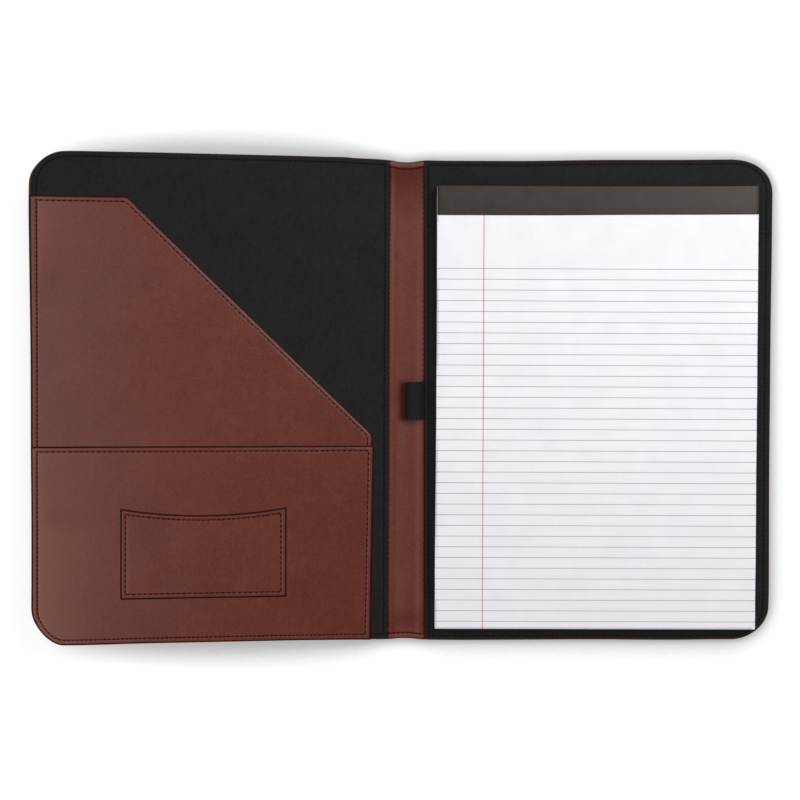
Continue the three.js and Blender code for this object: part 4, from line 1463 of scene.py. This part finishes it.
# ends of the spine
for nm, sgn, sd in (("spine_head", 1, 62), ("spine_foot", -1, 63)):
    y0 = sgn * (HALF_H - STRIP_END - (STRIP_HEAD if sgn > 0 else STRIP_FOOT))
    for half, x0, x1 in (("right", 0.1, 11.9), ("left", -0.1, -11.9)):
        path = ends(np.stack([np.linspace(x0, x1, 24), np.full(24, y0)], 1))

        def strip_face(x, y):
            return 4.20 + 0.6 * strip_top(x, y)

        ob = stitches(
            f"{nm}_stitches_{half}", [(path, strip_face)], 2.9, M_BROWN_THREAD, None,
            (nm + "_thread",), lift if half == "left" else None, seed=sd + (7 if half == "left" else 0))
        (bend_back if half == "right" else bend_front)(ob)


# ---- Pen loop: ribbed elastic, sewn in under the lining's edge --------------------------------
def pen_loop():
    # the middle line of the band in (x, z), from under the lining over the arch and back
    ctrl = np.array([
        (17.6, 3.98), (14.5, 4.12), (12.6, 4.75), (11.6, 6.1), (10.6, 8.4), (9.2, 10.05), (6.9, 10.85),
        (4.0, 10.95), (1.6, 10.55), (0.2, 9.3), (-0.22, 7.6), (0.0, 6.2), (1.0, 5.35), (3.2, 5.12),
        (7.0, 5.08), (10.6, 5.0), (12.4, 4.55), (14.5, 3.75), (17.6, 3.55),
    ])
    # a smooth line through them
    m = len(ctrl)
    dense = []
    ext = np.vstack([2 * ctrl[0] - ctrl[1], ctrl, 2 * ctrl[-1] - ctrl[-2]])
    for i in range(m - 1):
        p0, p1_, p2_, p3 = ext[i], ext[i + 1], ext[i + 2], ext[i + 3]
        for t in np.linspace(0, 1, 9)[:-1]:
            dense.append(
                0.5 * ((2 * p1_) + (-p0 + p2_) * t + (2 * p0 - 5 * p1_ + 4 * p2_ - p3) * t**2
                       + (-p0 + 3 * p1_ - 3 * p2_ + p3) * t**3))
    dense.append(ctrl[-1])
    path = np.array(dense)
    s = np.concatenate([[0], np.cumsum(np.hypot(*np.diff(path, axis=0).T))])
    su = np.linspace(0, s[-1], 110)
    path = np.stack([np.interp(su, s, path[:, 0]), np.interp(su, s, path[:, 1])], 1)
    tan = np.gradient(path, axis=0)
    tan /= np.linalg.norm(tan, axis=1)[:, None]
    out = np.stack([tan[:, 1], -tan[:, 0]], 1)  # right of the way: outward on the arch
    out *= -1.0 if out[len(out) // 2 - 20][1] < 0 else 1.0
    y0, y1 = -13.3, 12.2
    ys = np.linspace(y0, y1, 17 * 6 + 1)
    rib = 0.10 * np.abs(np.sin(math.pi * (ys - y0) / 1.5))
    end = np.minimum(1.0, np.minimum(ys - y0, y1 - ys) / 0.35)
    half = (0.26 + rib) * (0.55 + 0.45 * end)
    # the band draws in a little where it is free
    free = smooth(0, 12, su) * smooth(0, 12, su[-1] - su)
    n, k = len(path), len(ys)
    verts, faces = [], []
    for side in (1, -1):
        for i in range(n):
            narrow = 1 - 0.012 * free[i]
            for j in range(k):
                q = path[i] + side * out[i] * half[j]
                verts.append((q[0], (ys[j] + 0.55) * narrow - 0.55, q[1]))

    def at(side, i, j):
        return (0 if side > 0 else n * k) + i * k + j

    for i in range(n - 1):
        for j in range(k - 1):
            faces.append((at(1, i, j), at(1, i, j + 1), at(1, i + 1, j + 1), at(1, i + 1, j)))
            faces.append((at(-1, i, j), at(-1, i + 1, j), at(-1, i + 1, j + 1), at(-1, i, j + 1)))
        faces.append((at(1, i, 0), at(1, i + 1, 0), at(-1, i + 1, 0), at(-1, i, 0)))
        faces.append((at(1, i, k - 1), at(-1, i, k - 1), at(-1, i + 1, k - 1), at(1, i + 1, k - 1)))
    for j in range(k - 1):
        faces.append((at(1, 0, j), at(-1, 0, j), at(-1, 0, j + 1), at(1, 0, j + 1)))
        faces.append((at(1, n - 1, j), at(1, n - 1, j + 1), at(-1, n - 1, j + 1), at(-1, n - 1, j)))
    v = np.array(verts)
    rest = v.copy()
    rest[:, 0] = np.tile(np.repeat(su, k), 2)
    rest[:, 1] = v[:, 1] - y0
    ob = make("pen_loop_elastic", v, faces, rest)
    return ob, float(s[-1])


loop_ob, loop_len = pen_loop()
dress(loop_ob, M_ELASTIC)
bend_back(loop_ob)
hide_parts("pen_loop", "pen_loop_tab")


# ---- Writing pad ---------------------------------------------------------------------------
PAD_TILT = np.array([(0, -0.98), (91, -0.95), (158, -0.77), (200, -0.55), (233, -0.2), (260, -0.15)])
TAPE_TILT = np.array([(0, -0.75), (29, -0.72), (97, -0.5), (158, 0.15), (200, 0.45), (233, 0.75), (260, 0.8)])


def pad_plan(p):
    """How the glued head of the pad and its tape stray from square."""
    x, y = p[:, 0], p[:, 1]
    x = x - 0.7 * smooth(40, -150, y) * smooth(34, 21, x)
    head = bow(PAD_TILT, x) * smooth(128, 143, y)
    tape_ = bow(TAPE_TILT, x) * smooth(116, 124.5, y) * (1 - smooth(128, 143, y))
    return np.stack([x - 0.0011 * (y - 30), y + head + tape_], 1)


def pad_block():
    """The block of sheets: each few sheets stand a hair in or out at the cut sides."""
    r = np.random.default_rng(23)
    z0, z1 = 7.46, 12.62
    levels = 22
    # the last column is tone: painted shade at the block's lower edge and between the levels of sheets
    prof = [(12.0, 0.0, z0, 0, 1, 0.0), (0.25, 0.0, z0, 0, 1, -0.4)]
    zs = np.linspace(z0 + 0.12, z1 - 0.05, levels)
    for i, z in enumerate(zs):
        o = 0.05 + 0.09 * r.random()
        prof.append((o, 0.0, z, 0, 0.55 if i == 0 else max(0.0, 0.5 - i / 12), -0.2))
        if i < levels - 1:
            prof.append((o + 0.05, 0.0, z + (zs[1] - zs[0]) * 0.5, 0, max(0.0, 0.45 - i / 12), -0.6))
    prof += [(0.10, 0.0, z1 - 0.01, 0, 0, 0.0), (0.6, 0.0, z1, 0, 0, 0), (12.0, 0.0, z1, 1, 0, 0)]
    c = dict(full=0.55, n=3)
    poly = [
        Corner(PAD_L, PAD_FOOT, 0.35, 0.35, **c),
        Corner(PAD_R, PAD_FOOT, 0.35, 0.35, **c),
        Corner(PAD_R, PAD_HEAD, 0.35, 0.35, **c),
        Corner(PAD_L, PAD_HEAD, 0.35, 0.35, **c),
    ]

    def low_face(x, y):
        return -0.88 * smooth(115.6, 118.5, y)

    def wavy(p):
        w = 0.05 * np.sin(p[:, 1] / 17.0 + 1.0) + 0.03 * np.sin(p[:, 1] / 6.3)
        return pad_plan(np.stack([p[:, 0] + w * np.sign(p[:, 0] - 128.4), p[:, 1]], 1))

    pts = np.vstack([
        grid(PAD_L + 16, PAD_R - 10, PAD_FOOT + 16, 108, 14.0, 18),
        grid(PAD_L + 14, PAD_R - 12, 113, 121.5, 2.0, 19, 0.05),
        grid(PAD_L + 16, PAD_R - 12, 124, 131, 5.0, 20),
    ])
    return loft("pad_sheets_block", poly, prof, [0] * 4, 6.0, pts, wavy, None, low_face, gap=0.8)


block = dress(pad_block(), M_PAPER, M_PAGES)
idx = np.zeros(len(block.data.polygons), np.int32)
nz = np.zeros(len(block.data.polygons) * 3, np.float32)
block.data.polygons.foreach_get("normal", nz)
idx[np.abs(nz.reshape(-1, 3)[:, 2]) < 0.8] = 1
block.data.polygons.foreach_set("material_index", idx)
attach(block, "pad")
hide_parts("pad_sheets")


def top_sheet():
    """The uppermost sheet: paper, a touch of lift at its free corners."""
    xs = np.concatenate([np.linspace(PAD_L + 0.22, PAD_L + 12, 7)[:-1],
                         np.linspace(PAD_L + 12, PAD_R - 14, 30)[:-1],
                         np.linspace(PAD_R - 14, PAD_R - 0.12, 8)])
    ys = np.concatenate([np.linspace(PAD_FOOT + 0.05, PAD_FOOT + 14, 8)[:-1],
                         np.linspace(PAD_FOOT + 14, 108, 40)[:-1],
                         np.linspace(108, TAPE_Y + 0.6, 30)])
    gx, gy = np.meshgrid(xs, ys)
    gx = gx + 0.12 * np.exp(-((PAD_R - gx) / 3.0)) * np.sin(gy / 40.0)
    near = smooth(118.0, 122.5, gy)
    foot = np.exp(-((gy - PAD_FOOT) / 16.0) ** 2)
    z = 12.80 - 0.10 * near + 0.05 * waves(gx, gy, 71, 90) * (1 - near)
    z = z + 0.20 * foot * (0.3 + 0.7 * smooth(190, 236, gx))
    t = 0.10
    n, k = gx.shape
    z = z - 0.45 * smooth(PAD_R - 9, PAD_R, gx) * (1 - near) - 0.2 * smooth(PAD_L + 6, PAD_L, gx) * (1 - near)
    top = np.stack([gx, gy, z], 2).reshape(-1, 3)
    flat_top = top.copy()
    top[:, :2] = pad_plan(top[:, :2])
    bot = top.copy()
    bot[:, 2] -= t
    verts = np.vstack([top, bot])
    faces = []
    off = n * k
    for i in range(n - 1):
        for j in range(k - 1):
            a, b, c, d = i * k + j, i * k + j + 1, (i + 1) * k + j + 1, (i + 1) * k + j
            faces.append((a, b, c, d))
            faces.append((off + d, off + c, off + b, off + a))
    for j in range(k - 1):
        faces.append((j + 1, j, off + j, off + j + 1))
        a = (n - 1) * k + j
        faces.append((a, a + 1, off + a + 1, off + a))
    for i in range(n - 1):
        faces.append((i * k, (i + 1) * k, off + (i + 1) * k, off + i * k))
        a = i * k + k - 1
        faces.append((a + k, a, off + a, off + a + k))
    rest = np.vstack([flat_top, flat_top])
    ob = make("pad_top_sheet", verts, faces, rest)
    return ob


sheet_ob = dress(top_sheet(), M_PAPER)
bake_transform(sheet_ob)
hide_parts("top_sheet")


def binding():
    """The tape over the head of the pad and under its cardboard, left bare."""
    xs = np.linspace(PAD_L + 0.16, PAD_R - 0.05, 90)
    line = [(TAPE_Y, 12.84), (TAPE_Y + 0.25, 12.92)]
    line += [(y, 12.93) for y in np.linspace(TAPE_Y + 1.0, PAD_HEAD - 1.0, 13)]
    cx, cz, rr = PAD_HEAD - 0.55, 12.0, 0.93
    line += [(cx + rr * math.sin(a), cz + rr * math.cos(a)) for a in np.linspace(0.15, math.pi / 2, 7)]
    line += [(PAD_HEAD + 0.38, z) for z in np.linspace(11.2, 6.6, 7)]
    cz2 = 6.2
    line += [(PAD_HEAD - 0.42 + 0.8 * math.cos(a), cz2 - 0.72 * math.sin(a)) for a in np.linspace(0.2, math.pi / 2, 6)]
    line += [(y, 5.46) for y in np.linspace(PAD_HEAD - 1.6, PAD_HEAD - 8.0, 6)]
    line = np.array(line)
    tan = np.gradient(line, axis=0)
    tan /= np.linalg.norm(tan, axis=1)[:, None]
    out = np.stack([-tan[:, 1], tan[:, 0]], 1)
    t = 0.22
    n, k = len(line), len(xs)
    verts, faces, tone = [], [], []
    for side in (1, 0):
        for i in range(n):
            for j, x in enumerate(xs):
                q = line[i] + out[i] * (t if side else 0.0)
                y, z = q
                if i < 17:
                    z = z + 0.035 * math.sin(x / 13.0) * math.sin(y / 3.1) * (1 if side else 0)
                    for sx in (-78, 0, 78):
                        z += 0.13 * side * math.exp(-(((x - 128.4 - sx) / 7.0) ** 4) - ((y - 135.4) / 0.9) ** 2)
                verts.append((x, y, z))
                # tone: a lighter line on the tape's lower edge, painted shade on the band beside it
                tone.append(0.4 if i < 1 else -0.45 * smooth(TAPE_Y + 7.0, TAPE_Y + 3.0, y) * (i < 17))

    def at(side, i, j):
        return (0 if side else n * k) + i * k + j

    for i in range(n - 1):
        for j in range(k - 1):
            faces.append((at(1, i, j), at(1, i, j + 1), at(1, i + 1, j + 1), at(1, i + 1, j)))
            faces.append((at(0, i, j), at(0, i + 1, j), at(0, i + 1, j + 1), at(0, i, j + 1)))
        faces.append((at(1, i, 0), at(1, i + 1, 0), at(0, i + 1, 0), at(0, i, 0)))
        faces.append((at(1, i, k - 1), at(0, i, k - 1), at(0, i + 1, k - 1), at(1, i + 1, k - 1)))
    for j in range(k - 1):
        faces.append((at(1, 0, j), at(0, 0, j), at(0, 0, j + 1), at(1, 0, j + 1)))
        faces.append((at(1, n - 1, j), at(1, n - 1, j + 1), at(0, n - 1, j + 1), at(0, n - 1, j)))
    v = np.array(verts)
    rest = v.copy()
    v[:, :2] = pad_plan(v[:, :2])
    return make("pad_binding_tape", v, faces, rest, tone)


tape_ob = dress(binding(), M_TAPE)
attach(tape_ob, "pad")
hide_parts("pad_binding")

# CAD nodes that keep their own shape
for node, mat in (("pad_backboard", M_BOARD), ("staple_left", M_WIRE), ("staple_middle", M_WIRE), ("staple_right", M_WIRE)):
    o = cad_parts[node]
    o.data.materials.clear()
    o.data.materials.append(mat)


# ---- Floor, light and world ------------------------------------------------------------------
def floor():
    """A white board lit through from below; an ambient-occlusion node paints a soft shadow ring on it where something
    stands close.
    """
    n = Nodes("floor")
    k = n.noise(n.own((1, 1, 1)), 3.0, 2.0)
    ao = n.t.nodes.new("ShaderNodeAmbientOcclusion")
    ao.inputs["Distance"].default_value = 0.033
    ring_ = n.t.nodes.new("ShaderNodeValToRGB")
    ramp = ring_.color_ramp
    near = [(0.0, 0.08), (0.5, 0.42), (0.64, 0.50), (0.74, 0.53), (0.825, 0.56), (0.89, 0.73), (0.94, 0.87),
            (0.965, 0.95), (0.98, 1.0)]
    while len(ramp.elements) < len(near):
        ramp.elements.new(0.5)
    for e, (at, v) in zip(ramp.elements, near):
        e.position = at
        e.color = (v, v, v, 1.0)
    n.t.links.new(ao.outputs["AO"], ring_.inputs["Fac"])
    col = n.mix(n.span(k, 0.3, 0.7, 0.0, 1.0), (0.40, 0.40, 0.40), (0.42, 0.42, 0.42))
    col = n.mix(ring_.outputs["Color"], (0.0, 0.0, 0.0), col)
    n.set(Base_Color=col, Roughness=0.9, Specular_IOR_Level=0.1)
    n.set(Emission_Color=(1.0, 1.0, 1.0), Emission_Strength=n.span(ring_.outputs["Color"], 0.0, 1.0, 0.0, 0.72))
    s = 6.0
    me = bpy.data.meshes.new("floor")
    me.from_pydata([(-s, -s, -0.0002), (s, -s, -0.0002), (s, s, -0.0002), (-s, s, -0.0002)], [], [(0, 1, 2, 3)])
    me.materials.append(n.mat)
    ob = bpy.data.objects.new("floor", me)
    bpy.context.scene.collection.objects.link(ob)
    return ob


floor()


def backdrop():
    """A plain pale dome far behind everything, seen only where a view looks past the floor."""
    n = Nodes("backdrop")
    n.set(Base_Color=(0.0, 0.0, 0.0), Roughness=1.0, Specular_IOR_Level=0.0)
    n.set(Emission_Color=(1.0, 1.0, 1.0), Emission_Strength=0.74)
    n.mat.cycles.emission_sampling = "NONE"
    rad, around, up = 5.6, 96, 24
    verts, faces = [], []
    for j in range(up + 1):
        e = 0.5 * math.pi * j / up
        for i in range(around):
            a = 2 * math.pi * i / around
            verts.append((rad * math.cos(e) * math.cos(a), rad * math.cos(e) * math.sin(a), rad * math.sin(e) - 0.01))
    for j in range(up):
        for i in range(around):
            i2 = (i + 1) % around
            faces.append((j * around + i, (j + 1) * around + i, (j + 1) * around + i2, j * around + i2))
    me = bpy.data.meshes.new("backdrop")
    me.from_pydata(verts, [], faces)
    me.materials.append(n.mat)
    ob = bpy.data.objects.new("backdrop", me)
    bpy.context.scene.collection.objects.link(ob)
    ob.visible_diffuse = False
    ob.visible_glossy = False
    ob.visible_transmission = False
    ob.visible_shadow = False
    return ob


backdrop()


def area(name, at, look, size, radiance, color=(1, 1, 1)):
    d = bpy.data.lights.new(name, "AREA")
    d.shape = "RECTANGLE"
    d.size, d.size_y = size
    d.energy = radiance * math.pi * size[0] * size[1]
    d.color = color
    o = bpy.data.objects.new(name, d)
    bpy.context.scene.collection.objects.link(o)
    from mathutils import Vector

    way = Vector(look) - Vector(at)
    o.matrix_world = Matrix.Translation(at) @ way.to_track_quat("-Z", "Y").to_matrix().to_4x4()
    o.visible_camera = False
    return o


area("overhead", (-0.60, -0.12, 1.5), (-0.60, -0.12, 0.0), (0.90, 1.9), 2.3)
area("key", (0.55, 0.50, 0.85), (0.08, 0.05, 0.0), (0.70, 0.70), 5.8)
area("left_side", (-2.1, 0.1, 0.9), (-0.2, 0.0, 0.0), (1.3, 2.4), 0.9)
area("foot_side", (0.2, -2.2, 1.2), (0.0, -0.1, 0.0), (2.4, 1.0), 0.6)
area("right_side", (2.1, -0.4, 1.2), (0.1, 0.0, 0.0), (1.2, 2.0), 0.7)

world = bpy.data.worlds.new("world")
bpy.context.scene.world = world
world.use_nodes = True
bg = world.node_tree.nodes["Background"]
bg.inputs["Color"].default_value = (1.0, 1.0, 1.0, 1.0)
bg.inputs["Strength"].default_value = 0.11

view = bpy.context.scene.view_settings
view.view_transform = "Standard"
view.look = "None"
view.exposure = 0.0
view.gamma = 1.0
